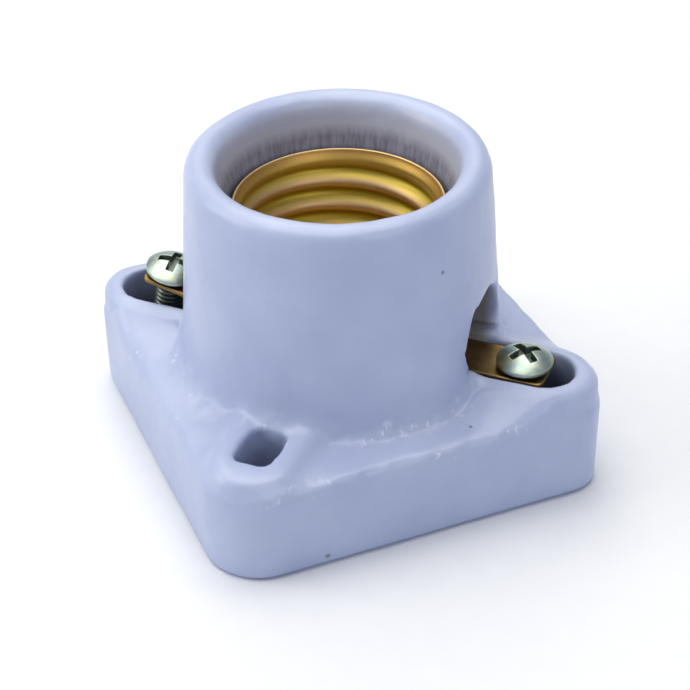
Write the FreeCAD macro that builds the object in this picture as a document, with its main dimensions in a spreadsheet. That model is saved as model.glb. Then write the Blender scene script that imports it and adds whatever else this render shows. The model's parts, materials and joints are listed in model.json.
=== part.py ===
import FreeCAD, Part
import math
import os
import Sketcher

# A surface-mounted porcelain lamp holder with a square base and a round tower.
# Frame: origin at the centre of the underside, +Z up, X through the two terminals, Y through the two
# mounting slots. The sides of the square lie at 45 degrees to X and Y.

doc = FreeCAD.newDocument("LampHolder")
sheet = doc.addObject("Spreadsheet::Sheet", "Sizes")

# Driving sizes in millimetres and degrees: alias, value, what it is
driving = [
    ("baseSide", 53.5, "side of the square base"),
    ("baseHeight", 13.2, "top of the base between the corners"),
    ("mountCornerRadius", 7.5, "plan radius of the two corners with slots"),
    ("terminalCornerRadius", 4.9, "plan radius of the two corners with terminals"),
    ("baseEdgeRadius", 1.3, "rounding of the base's top edge"),
    ("bottomEdgeRadius", 0.7, "rounding of the base's bottom edge"),
    ("footWall", 7.0, "tower wall around the bore at the base"),
    ("rimWall", 5.1, "tower wall around the bore at the rim"),
    ("towerHeight", 42.2, "whole height"),
    ("rimRadius", 2.0, "rounding of the tower's outer rim"),
    ("footRadius", 1.7, "glaze fillet at the tower's foot"),
    ("mouthFlare", 1.45, "how far the bore widens to the mouth"),
    ("mouthEdgeRadius", 2.2, "rounding of the mouth's edge"),
    ("shellClearance", 0.6, "gap between the screw shell and the bore"),
    ("mouthDepth", 7.0, "depth below the rim where the bore starts to widen"),
    ("landHeight", 17.5, "land that carries the shell's flange"),
    ("wellFloor", 15.5, "floor under the centre strap"),
    ("wellRadius", 5.6, "round well under the centre contact"),
    ("bossHeight", 16.4, "top of the terminal bosses"),
    ("bossHalfWidth", 5.9, "half width of a terminal boss"),
    ("bossInset", 0.25, "boss wall behind the base wall"),
    ("bossTipRadius", 5.2, "plan radius at the boss's outer corner"),
    ("bossSideRadius", 3.0, "plan radius where the boss meets the base's sides"),
    ("bossEdgeRadius", 1.5, "rounding of the boss's top edge"),
    ("pocketHalfWidth", 3.9, "half width of a terminal pocket"),
    ("pocketReach", 32.3, "outer end of a terminal pocket"),
    ("pocketStart", 19.0, "inner end of a terminal pocket"),
    ("windowHalfWidth", 6.0, "half width of the arched window"),
    ("windowTop", 26.5, "crown of the arched window"),
    ("padHeight", 14.8, "top of the mounting pads"),
    ("padHalfWidth", 5.9, "half width of a mounting pad"),
    ("padReach", 34.0, "outer end of a mounting pad"),
    ("padEdgeRadius", 1.4, "rounding of the pad's top edge"),
    ("slotSpacing", 52.0, "distance between the two mounting slots"),
    ("slotLength", 7.2, "length of a mounting slot"),
    ("slotWidth", 5.2, "width of a mounting slot"),
    ("baseWall", 5.2, "wall around the hollow underside"),
    ("recessDepth", 9.0, "depth of the hollow underside"),
    ("recessHalfSpan", 19.4, "half span of the hollow between the mounting slots"),
    ("recessCornerRadius", 4.0, "plan radius of the hollow's corners"),
    ("sheetThickness", 0.35, "brass sheet of the screw shell"),
    ("threadPitch", 3.629, "pitch of the lamp thread"),
    ("threadRadius", 12.75, "middle radius of the thread on the shell's inside"),
    ("threadWave", 0.6, "the thread's depth each side of its middle radius"),
    ("threadFlat", 0.1, "how much the thread's inner crests are flattened"),
    ("threadCrestHeight", 31.05, "height of one inner crest on the side away from the front"),
    ("threadCrestAngle", 113.0, "direction in which that crest is measured"),
    ("threadRunOut", 1.6, "height over which the thread fades at each end"),
    ("neckHeight", 34.1, "height where the thread ends and the lip begins"),
    ("lipRise", 1.5, "height of the shell's lip"),
    ("lipFlare", 0.6, "how far the lip stands out from the shell's wall"),
    ("flangeRingWidth", 2.15, "width of the shell's bottom ring beside the notch"),
    ("flangeHoleRadius", 6.0, "hole in the shell's bottom"),
    ("flangeNotchHalfWidth", 4.8, "half width of the notch over the centre strap"),
    ("flangeBendRadius", 0.9, "bend between the shell's wall and bottom"),
    ("strapWidth", 7.0, "width of both straps"),
    ("strapThickness", 0.6, "thickness of both straps"),
    ("strapClearance", 0.3, "gap between a strap and its channel, each side"),
    ("strapCornerRadius", 1.0, "rounded corners of the straps"),
    ("strapBend", 19.0, "distance from the axis where the shell strap bends up"),
    ("strapSlopeAngle", 12.0, "slope of the shell strap's end in degrees"),
    ("shellStrapReach", 28.0, "outer end of the shell strap"),
    ("shellStrapStart", 6.3, "inner end of the shell strap"),
    ("centreStrapReach", 29.0, "outer end of the centre strap"),
    ("centreStrapStart", 1.6, "inner end of the centre strap"),
    ("leafThickness", 0.4, "sheet of the centre contact"),
    ("leafWidth", 5.0, "width of the centre contact"),
    ("leafRootEnd", 8.2, "outer end of the centre contact's root"),
    ("leafBendX", 1.9, "where the centre contact bends up"),
    ("leafBendRadius", 1.2, "radius of that bend"),
    ("leafCrestX", 1.6, "crest of the centre contact beyond the axis"),
    ("leafCrestRise", 3.5, "crest corner above the contact's root"),
    ("leafCrestRadius", 1.5, "radius over the crest"),
    ("leafTipX", 4.4, "tip of the centre contact beyond the axis"),
    ("leafTipRise", 1.3, "tip above the contact's root"),
    ("rightTerminalX", 25.6, "axis of the right terminal screw"),
    ("leftTerminalX", 25.0, "axis of the left terminal screw on its strap"),
    ("rightHeadGap", 0.6, "gap under the right terminal screw's head"),
    ("leftHeadGap", 0.45, "gap under the left terminal screw's head"),
    ("threadClearance", 0.05, "radial gap around a screw in its thread"),
    ("terminalShankRadius", 2.0, "terminal screw, M4"),
    ("terminalShankLength", 10.0, "terminal screw's length under the head"),
    ("terminalHeadRadius", 3.7, "terminal screw's head"),
    ("terminalHeadHeight", 1.9, "terminal screw's head"),
    ("terminalHeadRim", 0.5, "straight rim of the terminal screw's head"),
    ("terminalRecessArm", 2.2, "arm of the terminal screw's cross recess"),
    ("terminalRecessWidth", 1.1, "width of that recess"),
    ("terminalRecessDepth", 1.3, "depth of that recess"),
    ("fixingShankRadius", 1.5, "fixing screws, M3"),
    ("shellScrewLength", 12.0, "length of the shell's fixing screws"),
    ("centreScrewLength", 12.0, "length of the centre's fixing screw"),
    ("fixingHeadRadius", 2.75, "fixing screw's head"),
    ("fixingHeadHeight", 1.9, "fixing screw's head"),
    ("fixingHeadRim", 0.6, "straight rim of the fixing screw's head"),
    ("fixingRecessArm", 1.6, "arm of the fixing screw's cross recess"),
    ("fixingRecessWidth", 0.85, "width of that recess"),
    ("fixingRecessDepth", 1.2, "depth of that recess"),
    ("fixingHoleRadius", 1.7, "fixing holes through the porcelain"),
    ("sheetHoleRadius", 1.6, "fixing holes through the brass"),
    ("shellFixingInset", 3.85, "the shell's fixings inside the thread's middle radius"),
    ("centreFixingX", 5.4, "distance of the centre's fixing from the axis"),
    ("washerRadius", 3.0, "outer radius of the spring washers"),
    ("washerThickness", 0.8, "thickness of the spring washers"),
    ("washerGap", 0.8, "split in the spring washers"),
    ("nutAcrossFlats", 5.5, "M3 nuts"),
    ("nutHeight", 2.4, "M3 nuts"),
    ("tipChamfer", 0.5, "chamfer at a screw's tip"),
    ("cutMargin", 1.0, "how far a cutting form stands out of what it cuts"),
]
for row, (alias, value, note) in enumerate(driving, start=1):
    sheet.set("A%d" % row, note)
    sheet.set("B%d" % row, str(value))
    sheet.setAlias("B%d" % row, alias)
doc.recompute()

# Expressions that more than one piece uses
cavityRadius = "(%s)" % " + ".join(
    "Sizes." + part for part in ("threadRadius", "threadWave", "sheetThickness", "shellClearance")
)
towerFootRadius = "(%s + Sizes.footWall)" % cavityRadius
towerTopRadius = "(%s + Sizes.rimWall)" % cavityRadius
mouthRadius = "(%s + Sizes.mouthFlare)" % cavityRadius
shellFixingRadius = "(Sizes.threadRadius - Sizes.shellFixingInset)"
cornerReach = "Sizes.baseSide * sqrt(2) / 2"
recessReach = "(Sizes.baseSide / 2 - Sizes.baseWall) * sqrt(2)"
shellStrapSeat = "(Sizes.landHeight - Sizes.strapThickness)"
strapHalfWidth = "Sizes.strapWidth / 2"
channelHalfWidth = "(Sizes.strapWidth / 2 + Sizes.strapClearance)"
leafSeat = "(Sizes.wellFloor + Sizes.strapThickness)"
leafMiddle = "(Sizes.wellFloor + Sizes.strapThickness + Sizes.leafThickness / 2)"
shellScrewSeat = "(Sizes.landHeight + Sizes.sheetThickness)"
centreScrewSeat = "(Sizes.wellFloor + Sizes.strapThickness + Sizes.leafThickness)"
slope = "Sizes.strapSlopeAngle * 1deg"

# The shell's three fixings: the first holds the shell strap, the others stand 120 degrees from it
shellFixings = [
    ("-" + shellFixingRadius, "0"),
    (shellFixingRadius + " * cos(60deg)", shellFixingRadius + " * sin(60deg)"),
    (shellFixingRadius + " * cos(60deg)", "-" + shellFixingRadius + " * sin(60deg)"),
]
centreFixing = ("Sizes.centreFixingX", "0")

touch = 0.001  # tolerance for picking edges by their place
filletRoom = 1.05  # part of a fillet's radius that the face beside it needs


def size(alias):
    return float(sheet.get(alias))


def valueOf(expression):
    return float(sheet.evalExpression(expression.replace("Sizes.", "")))


def bind(thing, expressions):
    for name, expression in expressions.items():
        thing.setExpression(name, expression)


# Sketch helpers


def newBody(name):
    body = doc.addObject("PartDesign::Body", name)
    body.Label = name
    return body


def sketchOn(body, role, name, offset="0"):
    sketch = body.newObject("Sketcher::SketchObject", name)
    plane = next(o for o in body.Origin.OriginFeatures if o.Role == role)
    sketch.AttachmentSupport = [(plane, "")]
    sketch.MapMode = "FlatFace"
    sketch.setExpression("AttachmentOffset.Base.z", offset)
    return sketch


def pin(sketch, curve, point, x, y):
    for kind, expression in (("DistanceX", x), ("DistanceY", y)):
        constraint = Sketcher.Constraint(kind, -1, 1, curve, point, valueOf(expression))
        index = sketch.addConstraint(constraint)
        sketch.setExpression("Constraints[%d]" % index, expression)


def setRadius(sketch, curve, expression):
    index = sketch.addConstraint(Sketcher.Constraint("Radius", curve, valueOf(expression)))
    sketch.setExpression("Constraints[%d]" % index, expression)


def pointAt(x, y):
    return FreeCAD.Vector(valueOf(x), valueOf(y), 0)


def polygon(sketch, corners):
    points = [pointAt(x, y) for x, y in corners]
    first = sketch.GeometryCount
    count = len(corners)
    for i in range(count):
        sketch.addGeometry(Part.LineSegment(points[i], points[(i + 1) % count]), False)
    for i, (x, y) in enumerate(corners):
        after = first + (i + 1) % count
        sketch.addConstraint(Sketcher.Constraint("Coincident", first + i, 2, after, 1))
        pin(sketch, first + i, 1, x, y)


def domedProfile(sketch, corners):
    # an outline whose last run is a dome: an arc up to the axis, square to it
    points = [pointAt(x, y) for x, y in corners]
    rim, crown = points[-2], points[-1]
    rise = crown.y - rim.y
    radius = (rim.x ** 2 + rise ** 2) / (2 * rise)
    ring = Part.Circle(FreeCAD.Vector(0, crown.y - radius, 0), FreeCAD.Vector(0, 0, 1), radius)
    lines = [
        sketch.addGeometry(Part.LineSegment(a, b), False) for a, b in zip(points[:-2], points[1:-1])
    ]
    start = math.pi / 2 - math.asin(rim.x / radius)
    dome = sketch.addGeometry(Part.ArcOfCircle(ring, start, math.pi / 2), False)
    axis = sketch.addGeometry(Part.LineSegment(crown, points[0]), False)
    for one, other in zip(lines, lines[1:] + [dome]):
        sketch.addConstraint(Sketcher.Constraint("Coincident", one, 2, other, 1))
    sketch.addConstraint(Sketcher.Constraint("Coincident", dome, 2, axis, 1))
    sketch.addConstraint(Sketcher.Constraint("Coincident", axis, 2, lines[0], 1))
    for line, corner in zip(lines, corners):
        pin(sketch, line, 1, *corner)
    pin(sketch, dome, 1, *corners[-2])
    pin(sketch, dome, 2, *corners[-1])
    sketch.addConstraint(Sketcher.Constraint("PointOnObject", dome, 3, -2))


def circle(sketch, x, y, radius):
    curve = sketch.addGeometry(
        Part.Circle(pointAt(x, y), FreeCAD.Vector(0, 0, 1), valueOf(radius)), False
    )
    pin(sketch, curve, 3, x, y)
    setRadius(sketch, curve, radius)


def joined(sketch, one, onePoint, other, otherPoint):
    sketch.addConstraint(Sketcher.Constraint("Tangent", one, onePoint, other, otherPoint))


def roundSlot(sketch, x, near, far, radius):
    # a slot along the sketch's second axis, with round ends centred at near and far
    low, high, r = pointAt(x, near), pointAt(x, far), valueOf(radius)
    up, side = FreeCAD.Vector(0, 0, 1), FreeCAD.Vector(r, 0, 0)
    bottom = sketch.addGeometry(Part.ArcOfCircle(Part.Circle(low, up, r), math.pi, 2 * math.pi))
    right = sketch.addGeometry(Part.LineSegment(low + side, high + side))
    top = sketch.addGeometry(Part.ArcOfCircle(Part.Circle(high, up, r), 0, math.pi))
    left = sketch.addGeometry(Part.LineSegment(high - side, low - side))
    joined(sketch, bottom, 2, right, 1)
    joined(sketch, right, 2, top, 1)
    joined(sketch, top, 2, left, 1)
    joined(sketch, left, 2, bottom, 1)
    pin(sketch, bottom, 3, x, near)
    pin(sketch, top, 3, x, far)
    setRadius(sketch, bottom, radius)


def tongue(sketch, start, centre, halfWidth, upright):
    # a straight-sided outline with one round end, along the second axis if upright, else the first
    def place(along, across):
        return (across, along) if upright else (along, across)

    minus = "-(%s)" % halfWidth
    corners = [place(centre, halfWidth), place(start, halfWidth), place(start, minus), place(centre, minus)]
    points = [pointAt(x, y) for x, y in corners]
    lines = [
        sketch.addGeometry(Part.LineSegment(points[i], points[i + 1]), False) for i in range(3)
    ]
    x, y = place(centre, "0")
    quarter = 0 if upright else -math.pi / 2
    ring = Part.Circle(pointAt(x, y), FreeCAD.Vector(0, 0, 1), valueOf(halfWidth))
    arc = sketch.addGeometry(Part.ArcOfCircle(ring, quarter, quarter + math.pi), False)
    fromArc, toArc = (2, 1) if not upright else (1, 2)
    sketch.addConstraint(Sketcher.Constraint("Coincident", lines[0], 1, arc, fromArc))
    sketch.addConstraint(Sketcher.Constraint("Coincident", lines[2], 2, arc, toArc))
    for i in range(2):
        sketch.addConstraint(Sketcher.Constraint("Coincident", lines[i], 2, lines[i + 1], 1))
    pin(sketch, lines[0], 1, *corners[0])
    pin(sketch, lines[1], 1, *corners[1])
    pin(sketch, lines[2], 1, *corners[2])
    pin(sketch, arc, 3, x, y)


def bentPath(sketch, corners, radii):
    # an open path of straight runs through the corners, with a tangent arc at each inner corner
    points = [pointAt(x, y) for x, y in corners]
    guides = []
    for i in range(len(points) - 1):
        guides.append(sketch.addGeometry(Part.LineSegment(points[i], points[i + 1]), True))
    for i, guide in enumerate(guides):
        pin(sketch, guide, 1, *corners[i])
    pin(sketch, guides[-1], 2, *corners[-1])
    for one, other in zip(guides, guides[1:]):
        sketch.addConstraint(Sketcher.Constraint("Coincident", one, 2, other, 1))
    starts, ends, arcs = [points[0]], [], []
    for i, radius in enumerate(radii, start=1):
        arrive = (points[i] - points[i - 1]).normalize()
        leave = (points[i + 1] - points[i]).normalize()
        turn = arrive.getAngle(leave)
        setback = valueOf(radius) * math.tan(turn / 2)
        ends.append(points[i] - arrive * setback)
        starts.append(points[i] + leave * setback)
        middle = points[i] + (leave - arrive).normalize() * (
            valueOf(radius) / math.cos(turn / 2) - valueOf(radius)
        )
        arcs.append(Part.Arc(ends[-1], middle, starts[-1]))
    ends.append(points[-1])
    runs = [sketch.addGeometry(Part.LineSegment(a, b), False) for a, b in zip(starts, ends)]
    sketch.addConstraint(Sketcher.Constraint("Coincident", runs[0], 1, guides[0], 1))
    sketch.addConstraint(Sketcher.Constraint("Coincident", runs[-1], 2, guides[-1], 2))
    for i, (arc, radius) in enumerate(zip(arcs, radii)):
        curve = sketch.addGeometry(arc, False)
        began = sketch.getPoint(curve, 1)
        first, last = (1, 2) if began.distanceToPoint(ends[i]) < touch else (2, 1)
        sketch.addConstraint(Sketcher.Constraint("PointOnObject", runs[i], 2, guides[i]))
        sketch.addConstraint(Sketcher.Constraint("PointOnObject", runs[i + 1], 1, guides[i + 1]))
        joined(sketch, runs[i], 2, curve, first)
        joined(sketch, curve, last, runs[i + 1], 1)
        setRadius(sketch, curve, radius)


# Feature helpers


def pad(body, sketch, name, length, midplane=False):
    feature = body.newObject("PartDesign::Pad", name)
    feature.Profile = sketch
    feature.Midplane = midplane
    feature.setExpression("Length", length)
    sketch.Visibility = False
    return feature


def pocket(body, sketch, name, depth):
    feature = body.newObject("PartDesign::Pocket", name)
    feature.Profile = sketch
    feature.setExpression("Length", depth)
    return feature


def revolve(body, sketch, name):
    feature = body.newObject("PartDesign::Revolution", name)
    feature.Profile = sketch
    feature.ReferenceAxis = (sketch, ["V_Axis"])
    feature.Angle = 360
    return feature


def roundEdges(body, feature, name, radius, chosen):
    doc.recompute()
    names = ["Edge%d" % i for i, edge in enumerate(feature.Shape.Edges, 1) if chosen(edge)]
    fillet = body.newObject("PartDesign::Fillet", name)
    fillet.Base = (feature, names)
    fillet.setExpression("Radius", radius)
    return fillet


def isUpright(edge):
    box = edge.BoundBox
    return box.XLength < touch and box.YLength < touch


def liesAt(height):
    return lambda edge: abs(edge.BoundBox.ZMin - height) < touch and edge.BoundBox.ZLength < touch


def circleAt(height, radius):
    def chosen(edge):
        return liesAt(height)(edge) and abs(edge.BoundBox.XMax - radius) < touch

    return chosen


def mirrored(form, name, normal):
    copy = doc.addObject("Part::Mirroring", name)
    copy.Source = form
    copy.Normal = normal
    return copy


# Porcelain forms that are added


def baseForm():
    body = newBody("base_form")
    outline = sketchOn(body, "XY_Plane", "base_outline")
    reach = cornerReach
    polygon(outline, [(reach, "0"), ("0", reach), ("-" + reach, "0"), ("0", "-" + reach)])
    block = pad(body, outline, "base_block", "Sizes.baseHeight")
    terminal = roundEdges(
        body, block, "terminal_corners", "Sizes.terminalCornerRadius",
        lambda e: isUpright(e) and abs(e.BoundBox.YMin) < touch,
    )
    mount = roundEdges(
        body, terminal, "mount_corners", "Sizes.mountCornerRadius",
        lambda e: isUpright(e) and abs(e.BoundBox.XMin) < touch,
    )
    top = roundEdges(body, mount, "base_edge", "Sizes.baseEdgeRadius", liesAt(size("baseHeight")))
    roundEdges(body, top, "bottom_edge", "Sizes.bottomEdgeRadius", liesAt(0))
    return body


def towerForm():
    body = newBody("tower_form")
    profile = sketchOn(body, "XZ_Plane", "tower_profile")
    skirt = "%s + Sizes.footRadius * %g" % (towerFootRadius, filletRoom)
    low = "Sizes.recessDepth + Sizes.cutMargin"
    polygon(profile, [
        ("0", low),
        (skirt, low),
        (skirt, "Sizes.baseHeight"),
        (towerFootRadius, "Sizes.baseHeight"),
        (towerTopRadius, "Sizes.towerHeight"),
        ("0", "Sizes.towerHeight"),
    ])
    solid = revolve(body, profile, "tower_turn")
    rim = roundEdges(
        body, solid, "rim", "Sizes.rimRadius",
        circleAt(size("towerHeight"), valueOf(towerTopRadius)),
    )
    roundEdges(
        body, rim, "foot", "Sizes.footRadius",
        circleAt(size("baseHeight"), valueOf(towerFootRadius)),
    )
    return body


def bossForm():
    body = newBody("boss_form")
    low = "Sizes.bottomEdgeRadius + Sizes.cutMargin"
    outline = sketchOn(body, "XY_Plane", "boss_outline", low)
    tip = "(%s - Sizes.bossInset * sqrt(2))" % cornerReach
    start = cavityRadius + " + Sizes.cutMargin"
    half = "Sizes.bossHalfWidth"
    polygon(outline, [
        (start, "-" + half),
        ("%s - %s" % (tip, half), "-" + half),
        (tip, "0"),
        ("%s - %s" % (tip, half), half),
        (start, half),
    ])
    block = pad(body, outline, "boss_block", "Sizes.bossHeight - (%s)" % low)
    point = roundEdges(
        body, block, "boss_tip", "Sizes.bossTipRadius",
        lambda e: isUpright(e) and abs(e.BoundBox.YMin) < touch,
    )
    inner = valueOf(start)
    sides = roundEdges(
        body, point, "boss_sides", "Sizes.bossSideRadius",
        lambda e: isUpright(e)
        and abs(abs(e.BoundBox.YMin) - size("bossHalfWidth")) < touch
        and e.BoundBox.XMin > inner + touch,
    )
    roundEdges(
        body, sides, "boss_edge", "Sizes.bossEdgeRadius",
        lambda e: liesAt(size("bossHeight"))(e) and e.BoundBox.XMax > inner + touch,
    )
    return body


def padForm():
    body = newBody("pad_form")
    low = "Sizes.bottomEdgeRadius + Sizes.cutMargin"
    outline = sketchOn(body, "XY_Plane", "pad_outline", low)
    roundSlot(
        outline, "0", cavityRadius + " + Sizes.padHalfWidth",
        "Sizes.padReach - Sizes.padHalfWidth", "Sizes.padHalfWidth",
    )
    block = pad(body, outline, "pad_block", "Sizes.padHeight - (%s)" % low)
    roundEdges(body, block, "pad_edge", "Sizes.padEdgeRadius", liesAt(size("padHeight")))
    return body


# Porcelain forms that are cut away


def socketCutter():
    body = newBody("socket_cutter")
    profile = sketchOn(body, "XZ_Plane", "socket_profile")
    lip = "%s + Sizes.mouthEdgeRadius * %g" % (mouthRadius, filletRoom)
    above = "Sizes.towerHeight + Sizes.cutMargin"
    polygon(profile, [
        ("0", "Sizes.landHeight"),
        (cavityRadius, "Sizes.landHeight"),
        (cavityRadius, "Sizes.towerHeight - Sizes.mouthDepth"),
        (mouthRadius, "Sizes.towerHeight"),
        (lip, "Sizes.towerHeight"),
        (lip, above),
        ("0", above),
    ])
    solid = revolve(body, profile, "socket_turn")
    roundEdges(
        body, solid, "mouth_edge", "Sizes.mouthEdgeRadius",
        circleAt(size("towerHeight"), valueOf(mouthRadius)),
    )
    return body


def wellCutter():
    body = newBody("well_cutter")
    deep = "Sizes.landHeight - Sizes.wellFloor + Sizes.cutMargin"
    well = sketchOn(body, "XY_Plane", "well_outline", "Sizes.wellFloor")
    circle(well, "0", "0", "Sizes.wellRadius")
    pad(body, well, "well", deep)
    channel = sketchOn(body, "XY_Plane", "channel_outline", "Sizes.wellFloor")
    polygon(channel, [
        ("0", "-" + channelHalfWidth),
        ("Sizes.pocketStart + Sizes.cutMargin", "-" + channelHalfWidth),
        ("Sizes.pocketStart + Sizes.cutMargin", channelHalfWidth),
        ("0", channelHalfWidth),
    ])
    pad(body, channel, "channel", deep)
    return body


def strapSeatCutter():
    body = newBody("strap_seat_cutter")
    outline = sketchOn(body, "XY_Plane", "seat_outline", shellStrapSeat)
    inner = "-(Sizes.shellStrapStart - Sizes.strapClearance)"
    outer = "-(Sizes.pocketStart + Sizes.cutMargin)"
    polygon(outline, [
        (outer, "-" + channelHalfWidth),
        (inner, "-" + channelHalfWidth),
        (inner, channelHalfWidth),
        (outer, channelHalfWidth),
    ])
    pad(body, outline, "strap_seat", "Sizes.strapThickness + Sizes.cutMargin")
    return body


def windowCutter():
    body = newBody("window_cutter")
    inside = "sqrt(%s ^ 2 - Sizes.windowHalfWidth ^ 2) - Sizes.cutMargin" % cavityRadius
    outline = sketchOn(body, "YZ_Plane", "window_outline", inside)
    spring = "Sizes.windowTop - Sizes.windowHalfWidth"
    tongue(outline, shellStrapSeat, spring, "Sizes.windowHalfWidth", True)
    pad(body, outline, "window", "%s + Sizes.cutMargin - (%s)" % (towerFootRadius, inside))
    return body


def pocketCutter():
    body = newBody("pocket_cutter")
    outline = sketchOn(body, "XY_Plane", "pocket_outline", "-Sizes.cutMargin")
    centre = "Sizes.pocketReach - Sizes.pocketHalfWidth"
    tongue(outline, "Sizes.pocketStart", centre, "Sizes.pocketHalfWidth", False)
    pad(body, outline, "pocket", "Sizes.bossHeight + 2 * Sizes.cutMargin")
    return body


def slotCutter():
    body = newBody("slot_cutter")
    outline = sketchOn(body, "XY_Plane", "slot_outline", "-Sizes.cutMargin")
    half = "(Sizes.slotLength - Sizes.slotWidth) / 2"
    roundSlot(
        outline, "0", "Sizes.slotSpacing / 2 - " + half, "Sizes.slotSpacing / 2 + " + half,
        "Sizes.slotWidth / 2",
    )
    pad(body, outline, "slot", "Sizes.padHeight + 2 * Sizes.cutMargin")
    return body


def recessCutter():
    body = newBody("recess_cutter")
    outline = sketchOn(body, "XY_Plane", "recess_outline", "-Sizes.cutMargin")
    side = "(%s - Sizes.recessHalfSpan)" % recessReach
    polygon(outline, [
        (recessReach, "0"),
        (side, "Sizes.recessHalfSpan"),
        ("-" + side, "Sizes.recessHalfSpan"),
        ("-" + recessReach, "0"),
        ("-" + side, "-Sizes.recessHalfSpan"),
        (side, "-Sizes.recessHalfSpan"),
    ])
    block = pad(body, outline, "recess", "Sizes.recessDepth + Sizes.cutMargin")
    roundEdges(body, block, "recess_corners", "Sizes.recessCornerRadius", isUpright)
    return body


def fixingCutter():
    body = newBody("fixing_cutter")
    outline = sketchOn(body, "XY_Plane", "fixing_outline", "Sizes.recessDepth - Sizes.cutMargin")
    for x, y in shellFixings + [centreFixing]:
        circle(outline, x, y, "Sizes.fixingHoleRadius")
    deep = "Sizes.landHeight - Sizes.recessDepth + 2 * Sizes.cutMargin"
    pad(body, outline, "fixing_holes", deep)
    return body


def porcelainBody():
    boss, mountPad = bossForm(), padForm()
    added = doc.addObject("Part::MultiFuse", "porcelain_blank")
    added.Shapes = [
        baseForm(),
        towerForm(),
        boss,
        mirrored(boss, "boss_form_left", (1, 0, 0)),
        mountPad,
        mirrored(mountPad, "pad_form_front", (0, 1, 0)),
    ]
    window, terminalPocket, slot = windowCutter(), pocketCutter(), slotCutter()
    removed = doc.addObject("Part::MultiFuse", "porcelain_hollows")
    removed.Shapes = [
        socketCutter(),
        wellCutter(),
        strapSeatCutter(),
        window,
        mirrored(window, "window_cutter_left", (1, 0, 0)),
        terminalPocket,
        mirrored(terminalPocket, "pocket_cutter_left", (1, 0, 0)),
        slot,
        mirrored(slot, "slot_cutter_front", (0, 1, 0)),
        recessCutter(),
        fixingCutter(),
    ]
    porcelain = doc.addObject("Part::Cut", "porcelain_body")
    porcelain.Label = "porcelain_body"
    porcelain.Base = added
    porcelain.Tool = removed
    return porcelain


# Screw shell: the wall's level sections are circles whose centre circles the axis once a pitch, which
# is the rolled round thread. The thread fades into a plain wall at both ends.


def threadPath(low, high):
    pitch, wave, fade = size("threadPitch"), size("threadWave"), size("threadRunOut")
    opposite = math.radians(size("threadCrestAngle")) + math.pi
    perTurn = 14
    steps = max(8, round((high - low) / pitch * perTurn))
    points = []
    for i in range(steps + 1):
        z = low + (high - low) * i / steps
        grown = min((z - low) / fade, (high - z) / fade, 1)
        depth = wave * grown * grown * (3 - 2 * grown)
        turn = opposite + 2 * math.pi * (z - size("threadCrestHeight")) / pitch
        points.append(FreeCAD.Vector(depth * math.cos(turn), depth * math.sin(turn), z))
    curve = Part.BSplineCurve()
    curve.interpolate(points)
    return Part.Wire(curve.toShape())


def threadSolid(radius, low, high):
    up = FreeCAD.Vector(0, 0, 1)
    sweep = Part.BRepOffsetAPI.MakePipeShell(threadPath(low, high))
    sweep.setTrihedronMode(FreeCAD.Vector(0, 0, low), up)
    sweep.add(Part.Wire(Part.makeCircle(radius, FreeCAD.Vector(0, 0, low), up)))
    sweep.build()
    sweep.makeSolid()
    return sweep.shape()


def disc(radius, low, high):
    return Part.makeCylinder(radius, high - low, FreeCAD.Vector(0, 0, low))


def turned(curves):
    return Part.Face(Part.Wire(curves)).revolve(
        FreeCAD.Vector(0, 0, 0), FreeCAD.Vector(0, 0, 1), 360
    )


def lipRing():
    # the neck flares in an S to the lip, at the sheet's thickness all the way
    thickness, neck = size("sheetThickness"), size("neckHeight")
    top = neck + size("lipRise")
    inner, outer = size("threadRadius"), size("threadRadius") + size("lipFlare")
    middle = (neck + top) / 2

    def flare(offset):
        curve = Part.BezierCurve()
        curve.setPoles([
            FreeCAD.Vector(inner + offset, 0, neck),
            FreeCAD.Vector(inner + offset, 0, middle),
            FreeCAD.Vector(outer + offset, 0, middle),
            FreeCAD.Vector(outer + offset, 0, top),
        ])
        return curve.toShape()

    inside, outside = flare(0), flare(thickness)
    bottom = Part.makeLine(inside.firstVertex().Point, outside.firstVertex().Point)
    edge = Part.makeLine(inside.lastVertex().Point, outside.lastVertex().Point)
    return turned([bottom, outside, edge, inside])


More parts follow.
